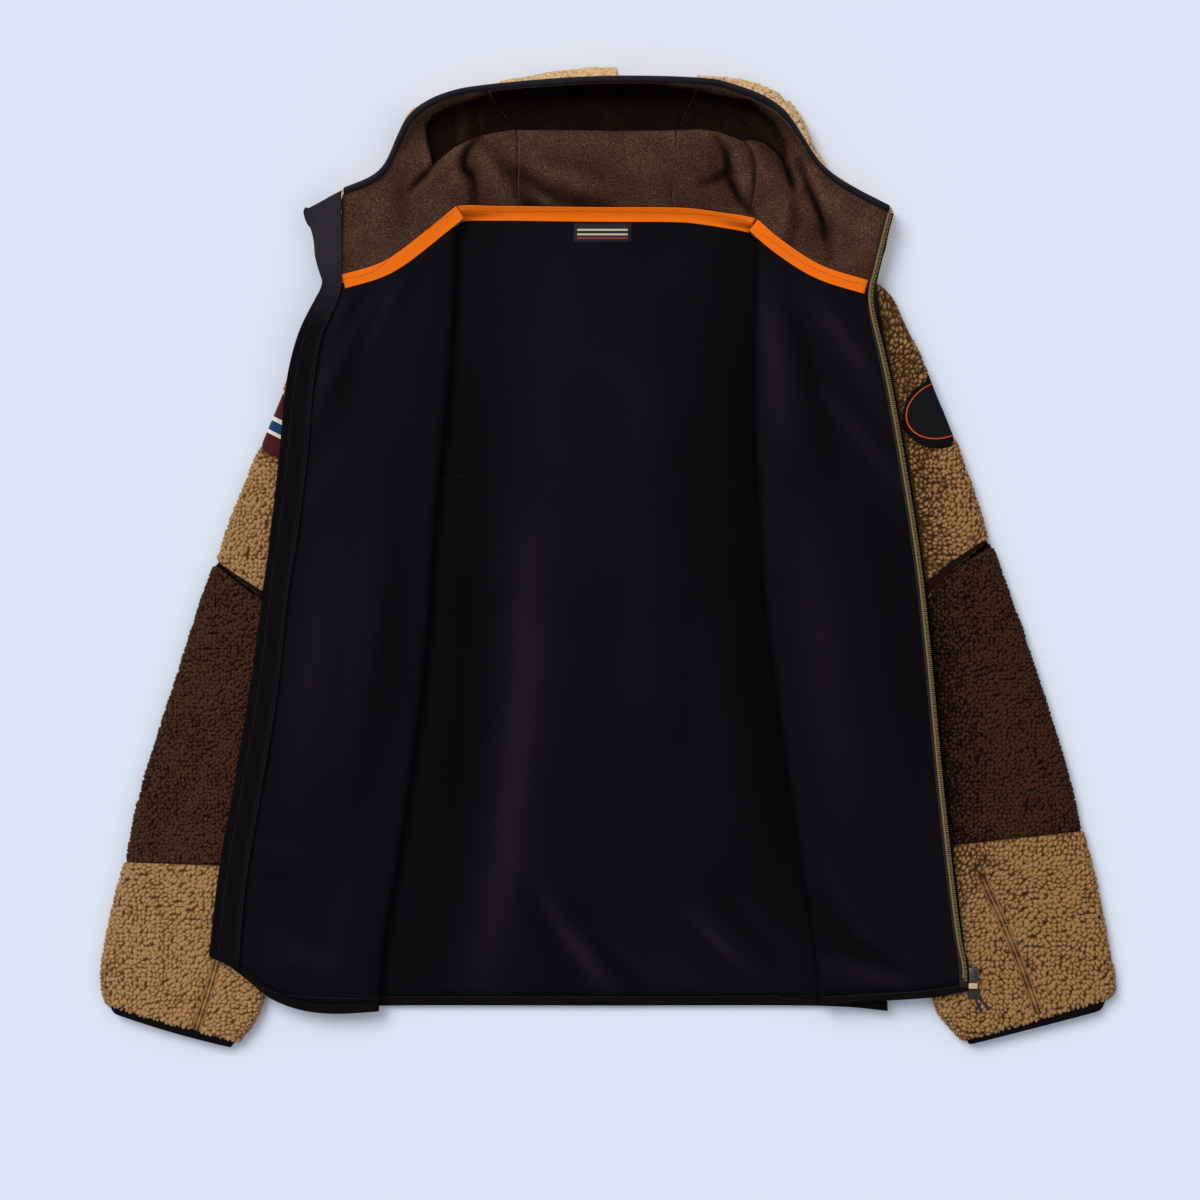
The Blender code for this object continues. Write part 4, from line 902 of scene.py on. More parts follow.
# painted light and painted shade on the front linings: how much, half width in mm, then the route
LEFT_SHADES = [
    (0.35, 22, (400, 290), (385, 360), (372, 440)),
    (0.45, 9, (352, 292), (328, 340), (314, 400)),
    (-0.30, 12, (372, 300), (350, 350), (338, 420)),
    (0.30, 26, (340, 470), (322, 600), (300, 740)),
    (-0.40, 16, (398, 470), (388, 640), (362, 800)),
    (0.35, 10, (262, 930), (300, 950), (350, 962)),
]
RIGHT_SHADES = [
    (0.40, 16, (766, 290), (776, 370), (784, 450)),
    (0.45, 10, (808, 300), (850, 350), (888, 420)),
    (0.40, 8, (826, 400), (862, 440), (900, 492)),
    (-0.35, 12, (800, 330), (818, 400), (830, 470)),
    (-0.30, 30, (880, 520), (890, 640), (905, 780)),
    (0.30, 22, (806, 520), (826, 660), (846, 800)),
    (-0.45, 12, (812, 900), (850, 946), (892, 960)),
    (0.55, 8, (816, 958), (856, 976), (910, 984)),
]
left_lining = fine_copy("left_front_lining", "left_front_lining_cloth", LINING, 3)
fold_cloth(left_lining, LEFT_FOLDS, 0.4 * MM, 0.0, UPPER_LAYER, LEFT_SHADES)
right_lining = fine_copy("right_front_lining", "right_front_lining_cloth", LINING, 3)
fold_cloth(right_lining, RIGHT_FOLDS, 0.4 * MM, 0.0, UPPER_LAYER, RIGHT_SHADES)
print("front lining faces:", len(left_lining.data.polygons), len(right_lining.data.polygons))

# %% [markdown]
# ## Lining of the hood
# The hood is lined with brown brushed fleece in three panels. It is heaped above the neck, so
# it carries the deepest creases of the jacket: darts beside the neck, a long diagonal fold in
# the middle panel, and upright folds at the right.

# %% Lining of the hood
HOOD_FOLDS = [
    # height and half width in mm, how much painted light or painted shade, then the route
    (-5.0, 3.4, -1.0, (411, 190), (418, 182), (427, 173), (435, 163)),
    (3.4, 6.0, 0.25, (409, 199), (421, 190), (434, 180), (444, 170), (452, 160)),
    (-5.0, 4.0, -1.0, (480, 137), (470, 149), (464.5, 160), (464.5, 170), (471, 177)),
    (-4.2, 5.0, -0.8, (469, 172), (474.5, 186), (476, 208)),
    (3.6, 8.0, 0.25, (458, 152), (452, 166), (457, 182), (467, 198)),
    (3.2, 6.0, 0.30, (478, 153), (491, 170), (505, 190), (512, 204)),
    (-3.0, 8.0, -0.55, (488, 148), (505, 168), (518, 188), (526, 204)),
    (-3.6, 6.0, -0.75, (518, 172), (539, 187), (560, 198), (588, 203), (606, 204)),
    (-2.6, 4.0, -0.60, (524, 201), (533, 204), (543, 206)),
    (3.0, 7.0, 0.30, (530, 166), (552, 177), (572, 184), (593, 195)),
    (-1.8, 10.0, -0.35, (545, 156), (570, 164), (602, 178)),
    (-1.6, 10.0, -0.40, (402, 176), (402, 205), (404, 234)),
    (2.0, 11.0, 0.15, (608, 148), (630, 168), (662, 180)),
    (-5.0, 3.6, -1.0, (716, 140), (726, 157), (729, 179), (738.6, 199), (752, 216)),
    (-1.8, 10.0, -0.40, (708, 150), (716, 172), (724, 194)),
    (3.6, 7.0, 0.30, (733, 148), (739, 168), (745, 190)),
    (-3.0, 2.4, -0.75, (744, 141), (751, 154), (754.5, 172), (753, 193), (749.8, 209)),
    (2.6, 5.0, 0.25, (750, 144), (760, 160), (763, 182)),
    (-2.4, 5.0, -0.55, (698, 187), (713, 181), (728, 173)),
    (-4.0, 3.2, -0.90, (786, 164), (790, 179), (794, 192)),
    (2.2, 4.0, 0.25, (801, 178), (800, 188), (795, 197)),
    (-5.0, 3.4, -1.0, (799, 163), (808, 187), (815.7, 204), (821.4, 219), (824, 240)),
    (3.6, 8.0, 0.28, (811, 174), (823, 197), (831, 216)),
    (3.0, 5.0, 0.28, (784, 197), (787, 214), (779, 240)),
    (-2.4, 6.0, -0.50, (793, 203), (796, 223), (788, 248)),
    (-2.4, 5.0, -0.50, (826, 220), (829, 242), (827, 264)),
    (-1.8, 12.0, -0.35, (810, 222), (812, 252)),
    (-1.6, 10.0, -0.35, (770, 150), (782, 170), (786, 190)),
]
WHOLE = 1000  # a share as a fold's height, which is read in mm
HOOD_SHAPE = [(height, width, *stops) for height, width, shade, *stops in HOOD_FOLDS]
HOOD_SHADE = [(WHOLE * shade, width, *stops) for height, width, shade, *stops in HOOD_FOLDS]
print("hood folds:", len(HOOD_FOLDS))

# %% [markdown]
# ## The hollow of the hood
# Behind the roll at the neck the hood is open, and its hollow is so deep that hardly any light
# reaches it. The part of the lining that lies inside the outline of this hollow is lowered
# steeply behind the edge of the roll. A value called lit holds painted light and shade: the
# fleece multiplies its colour by it, so the hollow is painted dark, with faint painted light on
# its floor and on the folds in it.

# %% Outline of the hollow
ROLL_EDGE = [
    (433, 167), (456, 149), (478, 138), (512, 132), (560, 132), (620, 133), (670, 132.5), (700, 131),
    (719.5, 134), (742.5, 143), (750, 139.5), (763, 143), (776, 154), (786, 169.5),
]
HOLLOW_EDGE = ROLL_EDGE + [
    (788, 156), (787, 140), (776, 120), (750, 102), (700, 91), (640, 85), (560, 88), (500, 93),
    (455, 104), (432, 115), (424, 125), (428, 146),
]
HOLLOW_STREAKS = [  # faint painted light on folds inside the hollow
    (260, 5, (459, 104), (463, 120), (460, 138)),
    (170, 4, (481, 108), (481, 124)),
    (70, 9, (600, 98), (610, 120)),
    (120, 7, (752, 112), (770, 132), (784, 150)),
]


def inside_outline(points, outline):
    """Whether each point lies inside a closed outline, by counting the edges to one side."""
    inside = np.zeros(len(points), bool)
    for a, b in zip(outline, outline[1:] + outline[:1]):
        spans = (a.y > points[:, 1]) != (b.y > points[:, 1])
        if a.y != b.y:
            crossing = a.x + (points[:, 1] - a.y) / (b.y - a.y) * (b.x - a.x)
            inside ^= spans & (points[:, 0] < crossing)
    return inside


roll_line = [from_photo(x, y) for x, y in ROLL_EDGE]
hollow_outline = [from_photo(x, y) for x, y in HOLLOW_EDGE]
hollow_reach = [place.x for place in hollow_outline]
print("the hollow is", round((max(hollow_reach) - min(hollow_reach)) / MM), "mm wide")

# %% Shaping the hood
HOLLOW_FLOOR = 6.5 * MM
HALF_CLOTH = 0.6 * MM
ROLL_DROP = 5.5 * MM  # how far behind its edge the roll has dropped to the floor
FAR_WALL, WALL_RISE = 24 * MM, 8 * MM  # where the far wall starts, and how soon it is up
HOLLOW_LIT_TOP, HOLLOW_LIFT = 30 * MM, 0.2  # painted light on what lies lower than this in the hollow, more the lower it lies


def shape_hollow(piece):
    """Lowers the lining behind the roll, paints shade on it there, and adds some painted light on its floor
    and folds.
    """
    points = points_of(piece)
    inside = inside_outline(points[:, :2], hollow_outline)
    away = route_shares(points[:, :2], roll_line)[0]
    edge_away = route_shares(points[:, :2], hollow_outline + hollow_outline[:1])[0]
    drop = np.clip(away / ROLL_DROP, 0, 1) ** 0.7 * inside
    facing = np.array([v.normal.z for v in piece.data.vertices])
    ground = HOLLOW_FLOOR + HALF_CLOTH * facing  # the two sides of the cloth stay apart
    sunk = np.minimum(points[:, 2], ground + (points[:, 2] - ground) * (1 - drop))
    far_wall = np.clip((away - FAR_WALL) / WALL_RISE, 0, 1)
    points[:, 2] = np.where(inside, sunk * (1 - far_wall) + points[:, 2] * far_wall, points[:, 2])
    set_points(piece, points)
    # painted shade over the hollow, and painted light on its floor and on the streaks of its folds
    dark = np.clip(0.35 + edge_away / (2.5 * MM), 0, 1) * inside
    shade = np.clip(1 + fold_heights(points[:, :2], HOOD_SHADE), 0.12, 1.4)
    deep = np.clip(0.07 + fold_heights(points[:, :2], HOLLOW_STREAKS), 0, 0.6)
    reached = np.clip((HOLLOW_LIT_TOP - points[:, 2]) / HOLLOW_LIT_TOP, 0, 1) ** 2
    store(piece, "lit", shade * (1 - dark) + (deep + HOLLOW_LIFT * reached) * dark)


TOUCHING = 0.001 * MM


def meet(piece, neighbour, push, reach):
    """Closes a seam: the edge of a panel is drawn out until it laps the neighbouring one."""
    tree = tree_of(neighbour)
    for vertex in piece.data.vertices:
        found, _, _, away = tree.find_nearest(vertex.co, reach)
        if found and away > TOUCHING:
            way = (found - vertex.co) / away
            vertex.co += way * push * (1 - smooth_step(away, 0.35 * reach, reach))


hood_linings = {}
for side in ("left", "centre", "right"):
    lining = fine_copy("hood_lining_" + side, "hood_lining_" + side + "_cloth", FLEECE, 3, 1.2)
    hood_linings[side] = lining
PANEL_PUSH, PANEL_REACH = 1.7 * MM, 5.0 * MM
for side in ("left", "right"):
    meet(hood_linings[side], hood_linings["centre"], PANEL_PUSH, PANEL_REACH)
LOWEST_CREASE = -6.0 * MM
for lining in hood_linings.values():
    fold_cloth(lining, HOOD_SHAPE, 0.3 * MM, LOWEST_CREASE)
    shape_hollow(lining)
    print(lining.name, "faces:", len(lining.data.polygons))

# %% [markdown]
# ## Outside of the hood
# The tan fleece of the hood shows as a curly edge beyond the binding, and all round the heap
# from the side. Its skin is made as on the sleeves, and it replaces the solid here, because
# below the lining it has to give way to the creases: wherever the lining is close, the skin
# sinks inwards instead of standing out in curls.

# %% Room under the lining
ROOM_REACH = 1.3 * MM
BELOW_LINING = 1.7 * MM


def room_below(tree, place):
    """How high the pile may stand under the lining, or None where no lining is above it."""
    heights = []
    for x, y in ((0, 0), (ROOM_REACH, 0), (-ROOM_REACH, 0), (0, ROOM_REACH), (0, -ROOM_REACH)):
        height = height_on(tree, place.x + x, place.y + y)
        if height is not None:
            heights.append(height)
    return min(heights) - BELOW_LINING if heights else None


hood_cover = tree_of(*hood_linings.values())
print("room for the pile in the middle of the hood:", room_below(hood_cover, HOOD_MIDDLE))

# %% Pile of the hood
HOOD_VOXEL = 1.8 * MM
HOOD_CURL = 4.6 * MM
FULL_PLACE, FULL_REACH, FULL_MORE = (801, 126), 36 * MM, 4.0 * MM  # here the pile stands furthest out
THINNER_LEFT, THINNER_RIGHT = (500, 90), (826, 172)
COVERED, COVER_REACH = 3.2 * MM, 12 * MM
HIDDEN_EDGE = [(618, 79.5), (640, 79.8), (669, 82.4), (697, 85.2)]  # here the binding hides the pile


def behind_binding(moved, limit):
    """Keeps a point of the pile behind the binding's edge, where that hides it."""
    if limit[0].x < moved.x < limit[-1].x and moved.y > limit[-1].y:
        for a, b in zip(limit, limit[1:]):
            if a.x <= moved.x <= b.x:
                moved.y = min(moved.y, a.y + (b.y - a.y) * (moved.x - a.x) / (b.x - a.x))


def hood_skin(side):
    """The curls of one panel of the hood, which give way to the lining above them."""
    node = "hood_" + side
    skin = filled_copy(node, HOOD_VOXEL)
    cover = tree_of(nodes["hood_lining_" + side])
    mesh = skin.data
    normals = [v.normal.copy() for v in mesh.vertices]
    limit = [from_photo(x, y) for x, y in HIDDEN_EDGE]
    thin_left, thin_right = from_photo(*THINNER_LEFT), from_photo(*THINNER_RIGHT)
    full_place = from_photo(*FULL_PLACE)
    levels, tones = curl_heights(skin, HOOD_CURL)
    for vertex, normal, level in zip(mesh.vertices, normals, levels):
        place = vertex.co.copy()
        near = cover.find_nearest(place, COVER_REACH)[3]
        free = 1.0 if near is None else smooth_step(near, COVERED, 2.5 * COVERED)
        level *= 0.1 + 0.9 * free
        rise = (-0.3 + 2.4 * level) * MM
        if place.x < thin_left.x or place.x > thin_right.x:
            rise = (-0.2 + 0.5 * level) * MM
        full = max(0.0, 1 - (place.xy - full_place.xy).length / FULL_REACH)
        rise += FULL_MORE * full * max(0.0, 1 - abs(normal.z))
        moved = place + normal * (rise * free)
        behind_binding(moved, limit)
        room = room_below(hood_cover, moved)
        if room is not None and normal.z > -0.6:
            moved.z = min(moved.z, max(room, JUST_OFF))
        if rests(place, normal):
            moved = Vector((place.x, place.y, INSIDE))
        moved.z = max(moved.z, JUST_OFF)
        vertex.co = moved
    store(skin, "nap", tones)
    flatten_rest(skin)
    clothe(skin, TAN_PILE_HOOD)
    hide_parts(node)
    return skin


hood_piles = {side: hood_skin(side) for side in ("left", "centre", "right")}
print("hood pile faces:", {side: len(o.data.polygons) for side, o in hood_piles.items()})

# %% [markdown]
# ## Tapes and bindings
# Raw edges are closed with narrow woven tape: orange over the neck seam, black along the hems
# and cuffs, and a dark blue-black elastic round the opening of the hood. A copy of each solid
# is rounded by a Subdivision Surface, because folded tape has no hard corners. The two short
# neck tapes are drawn out a little at their inner ends, so that they meet the one on the back.

# %% Tapes and bindings
TRIMS = {
    "neck_tape_left": (TAPE, 2), "neck_tape_back": (TAPE, 2), "neck_tape_right": (TAPE, 2),
    "back_hem_binding": (BINDING, 3), "left_hem_binding": (BINDING, 2),
    "right_hem_binding": (BINDING, 2), "left_cuff_binding": (BINDING, 3),
    "right_cuff_binding": (BINDING, 3), "hood_binding": (HOOD_BINDING, 2),
}
trims = {}
for node, (material, levels) in TRIMS.items():
    trims[node] = fine_copy(node, node + "_cloth", material, levels, 1.2)


print("trims:", {name: len(piece.data.polygons) for name, piece in trims.items()})

# %% Ends of the neck tapes
TAPE_ENDS = [
    # tape, its end in the photograph, the way it is drawn out, and how far in mm
    ("neck_tape_left", (460, 213), (1.0, 0.62, 0.02), 4.2),
    ("neck_tape_right", (753, 226), (-1.0, 0.62, 0.02), 4.2),
    ("neck_tape_right", (863, 288), (1.0, -0.3, 0.0), 3.6),
]
END_REACH, END_DRAWN = 23 * MM, 14 * MM  # the end moves whole, and this much before it is stretched


def draw_out(piece, end, direction, length):
    """Lengthens a tape at one end."""
    points = points_of(piece)
    goal, way = from_photo(*end), Vector(direction).normalized()
    away = np.linalg.norm(points[:, :2] - np.array(goal.xy), axis=1)
    share = np.clip((END_REACH - away) / END_DRAWN, 0, 1)
    points += share[:, None] * np.array(way) * length
    set_points(piece, points)


for tape, end, direction, length in TAPE_ENDS:
    draw_out(trims[tape], end, direction, length * MM)
print("tape ends drawn out:", len(TAPE_ENDS))

# %% [markdown]
# ## Ribbons
# Flat pieces that follow a curved seam, such as the flap beside the zip, are laid between two
# routes. A grid is made by one operator, and each of its rows is stretched from the one route
# to the other. Solidify gives it the thickness of cloth and Bevel softens its edges.

# %% Ribbons between two routes
def ribbon(name, material, first, second, columns, rows, thick, lift=None, edge=0.25):
    """Cloth between two routes of pixels and heights; lift(across, along) raises it in mm."""
    a, b = photo_route(first, rows), photo_route(second, rows)
    bm = bmesh.new()
    bmesh.ops.create_grid(bm, x_segments=columns, y_segments=rows, size=0.5)
    for vertex in bm.verts:
        across = vertex.co.x + 0.5
        row = round((vertex.co.y + 0.5) * rows)
        vertex.co = a[row].lerp(b[row], across)
        if lift:
            vertex.co.z += lift(across, row / rows) * MM
    bmesh.ops.recalc_face_normals(bm, faces=bm.faces)
    if sum(face.normal.z for face in bm.faces) < 0:
        bmesh.ops.reverse_faces(bm, faces=bm.faces)
    piece = put_object(name, mesh_of(bm, name), material)
    wall = piece.modifiers.new("thickness", "SOLIDIFY")
    wall.thickness = thick * MM
    wall.offset = -1.0
    soft = piece.modifiers.new("soft_edge", "BEVEL")
    soft.width = edge * MM
    soft.segments = 2
    soft.limit_method = "ANGLE"
    bake(piece)
    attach(piece, "jacket")
    return piece


def both_sides(stops, half, height=0):
    """Two routes of pixels, to the left and to the right of the stops of a seam."""
    sides = [], []
    for k, (x, y) in enumerate(stops):
        ahead = Vector(stops[min(k + 1, len(stops) - 1)]) - Vector(stops[max(k - 1, 0)])
        out = Vector((-ahead.y, ahead.x)).normalized() * half
        for side, sign in zip(sides, (-1, 1)):
            side.append((x + sign * out.x, y + sign * out.y, height))
    return sides


print("sides of a level seam, in pixels:", [side[0][:2] for side in both_sides([(0, 0), (9, 0)], 2)])

# %% [markdown]
# ## Flap beside the zip
# A folded strip of black cloth lies behind the left half of the zip and guards the chin. It is
# a ribbon between its two long edges. At the collar it swings out and its end rolls open, and
# short puckers cross it where its seam is tight.

# %% Flap
FLAP_OUTER = [
    (304.5, 211, 21.5), (306, 220, 21.2), (311, 229.5, 21.5), (314, 241.5, 22.2), (315.4, 256.6, 23),
    (319, 270.5, 24), (322.6, 282, 25), (320.4, 291, 25.2), (315.5, 300, 25.2), (300.3, 330.3, 25.2),
    (290.3, 364.8, 25.2), (284.8, 400.3, 25.2), (280.3, 450.3, 25.2), (270.3, 540.3, 25.2),
    (263.7, 589.2, 25.2), (253.7, 668.1, 25.2), (233.7, 790.3, 25.2), (220.3, 864.8, 25.2),
    (209.6, 955.6, 25.0),
]
FLAP_INNER = [
    (342, 191.6, 26.6), (342, 205, 26.6), (342, 225, 26.5), (342, 245, 26.3), (342, 262, 26.1),
    (342, 276, 25.9), (341.6, 288, 25.8), (339, 298, 25.8), (335.5, 308, 25.8), (329, 323, 25.8),
    (321.4, 342.6, 25.8), (314.2, 390.3, 25.8), (308.1, 460.3, 25.8), (298.1, 540.3, 25.8),
    (289.2, 593.7, 25.8), (278.1, 695.9, 25.8), (262.6, 790.3, 25.8), (247.5, 880, 25.8),
    (239.5, 969, 25.6),
]


COLLAR_SHARE = 0.11  # how much of the flap's length is its collar end
LAYER_SHARE = 0.09  # and how much of it has a high second layer


def flap_lift(across, along):
    """Rolled edge, a second layer beside it, puckers at the collar and a slight wave."""
    collar = max(0.0, 1 - along / COLLAR_SHARE)
    edge_roll = 0.7 * math.exp(-((across - 0.08) / 0.08) ** 2)
    layer = 0.7 * smooth_step(across, 0.58, 0.64) * (1 if along < LAYER_SHARE else 0.35)
    pucker = 0.55 * collar * smooth_step(across, 0.6, 0.8) * math.sin(along * 330)
    inner_seam = -0.5 * math.exp(-((across - 0.9) / 0.035) ** 2)
    seam = inner_seam - 0.35 * math.exp(-((across - 0.34) / 0.04) ** 2)
    wave = 0.5 * math.sin(along * 26 + across * 2) * across + 0.35 * math.sin(along * 61 + 1)
    return edge_roll + layer + pucker + seam + wave * (1 - 0.5 * collar)


COLLAR_LIT = 6.0  # painted light: the collar end of the flap is painted lighter where it turns to the light
COLLAR_FROM, COLLAR_RISE = 0.21, 0.06  # in metres along the jacket
flap = ribbon("zip_flap_cloth", FLAP_CLOTH, FLAP_OUTER, FLAP_INNER, 22, 300, 1.5, flap_lift)
for neighbour in (flap, trims["hood_binding"]):  # the lining is sewn to both
    meet(hood_linings["left"], neighbour, 1.8 * MM, 4.0 * MM)
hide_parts("zip_flap")
rows_y = points_of(flap)[:, 1]
store(flap, "lit", 1 + (COLLAR_LIT - 1) * np.clip((rows_y - COLLAR_FROM) / COLLAR_RISE, 0, 1))
print("flap faces:", len(flap.data.polygons))

# %% [markdown]
# ## Rolled end of the flap
# At the collar nothing holds the end of the flap, so its layers have rolled open into a small
# hollow loop. A flat ribbon can't close on itself like this. A circle is laid on the loop's own
# outline instead, its edge is drawn down and inwards once, and Solidify and a Subdivision
# Surface give the wall its thickness and a soft rim.

# %% Rolled end of the flap
ROLL_LOOP = [
    (306, 207.5), (309.5, 209), (312, 214), (312.6, 220), (312, 225.5), (309.5, 227), (306.8, 223),
    (304.6, 217), (303.8, 211.5), (306, 207.5),
]
ROLL_TOP = 23.4
ROLL_POINTS = 40
ROLL_NARROWER = 0.72  # the lower rim, against the upper one
ROLL_DOWN = Vector((0.0012, -0.0008, -0.0042))
loop = photo_route(at_height(ROLL_LOOP, ROLL_TOP), ROLL_POINTS)
bm = bmesh.new()
bmesh.ops.create_circle(bm, cap_ends=False, segments=ROLL_POINTS, radius=1.0)
bm.verts.ensure_lookup_table()
for k, vertex in enumerate(bm.verts):
    vertex.co = loop[k]
lower = bmesh.ops.extrude_edge_only(bm, edges=bm.edges[:])["geom"]
middle = sum(loop[:-1], Vector()) / ROLL_POINTS
for item in lower:
    if isinstance(item, bmesh.types.BMVert):
        item.co = middle + (item.co - middle) * ROLL_NARROWER + ROLL_DOWN
bmesh.ops.recalc_face_normals(bm, faces=bm.faces)
roll = put_object("flap_roll", mesh_of(bm, "flap_roll"), FLAP_CLOTH)
wall = roll.modifiers.new("thickness", "SOLIDIFY")
wall.thickness = 1.0 * MM
wall.offset = 0.0
rounding = roll.modifiers.new("rounding", "SUBSURF")
rounding.levels = rounding.render_levels = 1
bake(roll)
# the rolled end carries the same painted light as the collar
store(roll, "lit", COLLAR_LIT)
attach(roll, "jacket")
print("rolled end faces:", len(roll.data.polygons))

# %% [markdown]
# ## Zip
# Only the right half of the zip shows. Its khaki tape is sewn along the front edge, and its
# teeth stand in a row near the outer side. One tooth is a small block with rounded corners,
# and it is repeated along the edge at the pitch of a coarse zip.

# %% Zip tapes and their edge
zip_tapes = {}
for side in ("left", "right"):
    zip_tapes[side] = fine_copy("zip_tape_" + side, "zip_tape_" + side + "_cloth", ZIP_TAPE, 2)

ZIP_EDGE = [  # outer edge of the tape, as its solid runs
    (893.4, 213), (892, 218.1), (887.3, 235.9), (878.4, 272.6), (874.2, 290.3), (875.4, 312.6),
    (892.9, 389.2), (918.3, 540.3), (931.1, 651.4), (943.6, 784.8), (959.4, 922.6), (967.1, 964.8),
    (967.2, 980),
]
ZIP_TOP, ZIP_STEPS = 24.9, 600
tape_tree = tree_of(zip_tapes["right"])
edge_line = photo_route(at_height(ZIP_EDGE, ZIP_TOP), ZIP_STEPS)
print("length of the zip in mm:", round(sum((b - a).length for a, b in zip(edge_line, edge_line[1:])) / MM))

# %% Rows of small shapes
def side_line(route, distance):
    """The route moved sideways, to the left of the way it runs."""
    moved = []
    for k, point in enumerate(route):
        ahead = route[min(k + 1, len(route) - 1)] - route[max(k - 1, 0)]
        across = Vector((-ahead.y, ahead.x, 0)).normalized()
        moved.append(point + across * distance)
    return moved


def along_route(route, pitch):
    """Places at an even pitch on a dense route, each with its direction."""
    places, left = [], 0.0
    for a, b in zip(route, route[1:]):
        length = (b - a).length
        while left <= length:
            places.append((a.lerp(b, left / length), (b - a).normalized()))
            left += pitch
        left -= length
    return places


def repeat_shape(name, shape, places, material):
    """Copies of a small shape as one piece, each turned to its place."""
    bm = bmesh.new()
    for place, ahead in places:
        start = len(bm.verts)
        bm.from_mesh(shape)
        across = Vector((-ahead.y, ahead.x, 0)).normalized()
        turn = Matrix((ahead, across, Vector((0, 0, 1)))).transposed()
        bm.verts.ensure_lookup_table()
        bmesh.ops.transform(bm, matrix=Matrix.Translation(place) @ turn.to_4x4(), verts=bm.verts[start:])
    piece = put_object(name, mesh_of(bm, name), material)
    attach(piece, "jacket")
    return piece


def rounded_block(size, edge):
    """A small block, rounded along its upper edges."""
    bm = bmesh.new()
    bmesh.ops.create_cube(bm, size=1.0)
    bmesh.ops.scale(bm, vec=size, verts=bm.verts)
    upper = [e for e in bm.edges if min(v.co.z for v in e.verts) > 0]
    bmesh.ops.bevel(bm, geom=upper, offset=edge, affect="EDGES", segments=1, profile=0.5, material=-1)
    return mesh_of(bm, "small_block")


def rest_on(route, tree, above):
    """Sets each point of a route on the surface below it."""
    return [Vector((p.x, p.y, height_on(tree, p.x, p.y, p.z) + above)) for p in route]


print("steps of the zip's edge that rest on its tape:", len(rest_on(edge_line, tape_tree, 0.0)))

# %% Teeth
TOOTH_PITCH = 1.9 * MM
TOOTH = (1.0 * MM, 2.4 * MM, 1.3 * MM)  # along the zip, across it and high
TEETH_IN = 1.9 * MM  # from the tape's outer edge to the middle of the teeth
teeth_line = rest_on(side_line(edge_line, -TEETH_IN), tape_tree, TOOTH[2] * 0.3)
tooth = rounded_block(TOOTH, 0.3 * MM)
teeth = repeat_shape("zip_teeth", tooth, along_route(teeth_line, TOOTH_PITCH), ZIP_COIL)
print("teeth faces:", len(teeth.data.polygons))

# %% [markdown]
# ## Cord and piping of the zip
# Three thin rolls run along the tape: the cord that the teeth grip, the raised base under the
# teeth, and a fold of black cloth along the outer edge. Each is a curve with a round section,
# set on the surface below it and then made a mesh, because a curve keeps an even thickness
# round every bend.

# %% Cord and piping
CORD_IN = 4.2 * MM  # from the tape's outer edge to the middle of the cord
PIPING_IN = 0.45 * MM
EVERY_THIRD = slice(1, -2, 3)


def piping(name, material, route, radius):
    """A round roll of cloth along a route."""
    curve = bpy.data.curves.new(name, "CURVE")
    curve.dimensions = "3D"
    curve.bevel_depth = radius
    curve.bevel_resolution = 2
    curve.use_fill_caps = True
    line = curve.splines.new("POLY")
    line.points.add(len(route) - 1)
    for point, place in zip(line.points, route):
        point.co = (*place, 1.0)
    made = bpy.data.objects.new(name, curve)
    bpy.context.scene.collection.objects.link(made)
    graph = bpy.context.evaluated_depsgraph_get()
    mesh = bpy.data.meshes.new_from_object(made.evaluated_get(graph))
    bpy.data.objects.remove(made)
    piece = put_object(name, mesh, material)
    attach(piece, "jacket")
    return piece


cord_line = rest_on(side_line(edge_line, -CORD_IN), tape_tree, 0.35 * MM)[EVERY_THIRD]
under_teeth = rest_on(side_line(edge_line, -TEETH_IN), tape_tree, 0.0)[EVERY_THIRD]
outer_line = rest_on(side_line(edge_line, -PIPING_IN), tape_tree, 0.0)[EVERY_THIRD]
zip_pipes = [
    piping("zip_cord", ZIP_COIL, cord_line, 1.0 * MM),
    piping("zip_tooth_base", ZIP_TAPE, under_teeth, 0.6 * MM),
    piping("zip_piping_outer", FLAP_CLOTH, outer_line, 0.7 * MM),
]
print("piping points:", len(cord_line))

# %% [markdown]
# ## Seams of the cuffs
# Where each cuff is closed, the pile is cut short and the seam is pressed open under two rows
# of stitches. A narrow ribbon with three low ridges across it lies in the path that the curls
# leave free. It takes the fleece material too, with its nap high on the ridges.

# %% Seams of the cuffs
CUFF_STRIPS = {
    "left": [(218.4, 957), (209, 990), (195.3, 1031)],
    "right": [(983, 878), (990, 894), (1003, 922), (1022, 968), (1039.5, 1015)],
}
STRIP_TOP = 15.4  # in mm
STRIP_HALF_PX = 4.0
cuff_strips = {}


def strip_lift(across, along):
    """Three ridges across the seam, and ends that dip under the pile."""
    ridges = 0.7 * math.cos((across - 0.5) * 4 * math.pi)
    waver = 0.3 * math.sin(along * 31) + 0.2 * math.sin(along * 83 + across * 3)
    dip = -0.9 * (math.exp(-along / 0.05) + math.exp(-(1 - along) / 0.02))
    return ridges + waver + dip


for side, stops in CUFF_STRIPS.items():
    edges = both_sides(stops, STRIP_HALF_PX, STRIP_TOP)
    pile = TAN_PILE if side == "left" else TAN_PILE_PAINTED_SHADE
    strip = ribbon(side + "_cuff_seam", pile, *edges, 14, 16 * len(stops), 1.3, strip_lift)
    heights = points_of(strip)[:, 2] / MM - STRIP_TOP
    # painted light on the ridges and painted shade in the grooves between them
    store(strip, "nap", np.clip(0.5 + 0.2 * heights, 0.3, 0.8))
    cuff_strips[side] = strip
print("cuff seams:", {side: len(o.data.polygons) for side, o in cuff_strips.items()})

# %% [markdown]
# ## Bands at the elbows
# Tan and brown fleece meet above the elbow. The pile is pressed flat on both sides of that seam,
# and a narrow dark band lies in the groove. A painted line would leave the groove open, so
# the band is a ribbon too, and it rests on the solids of the two panels.

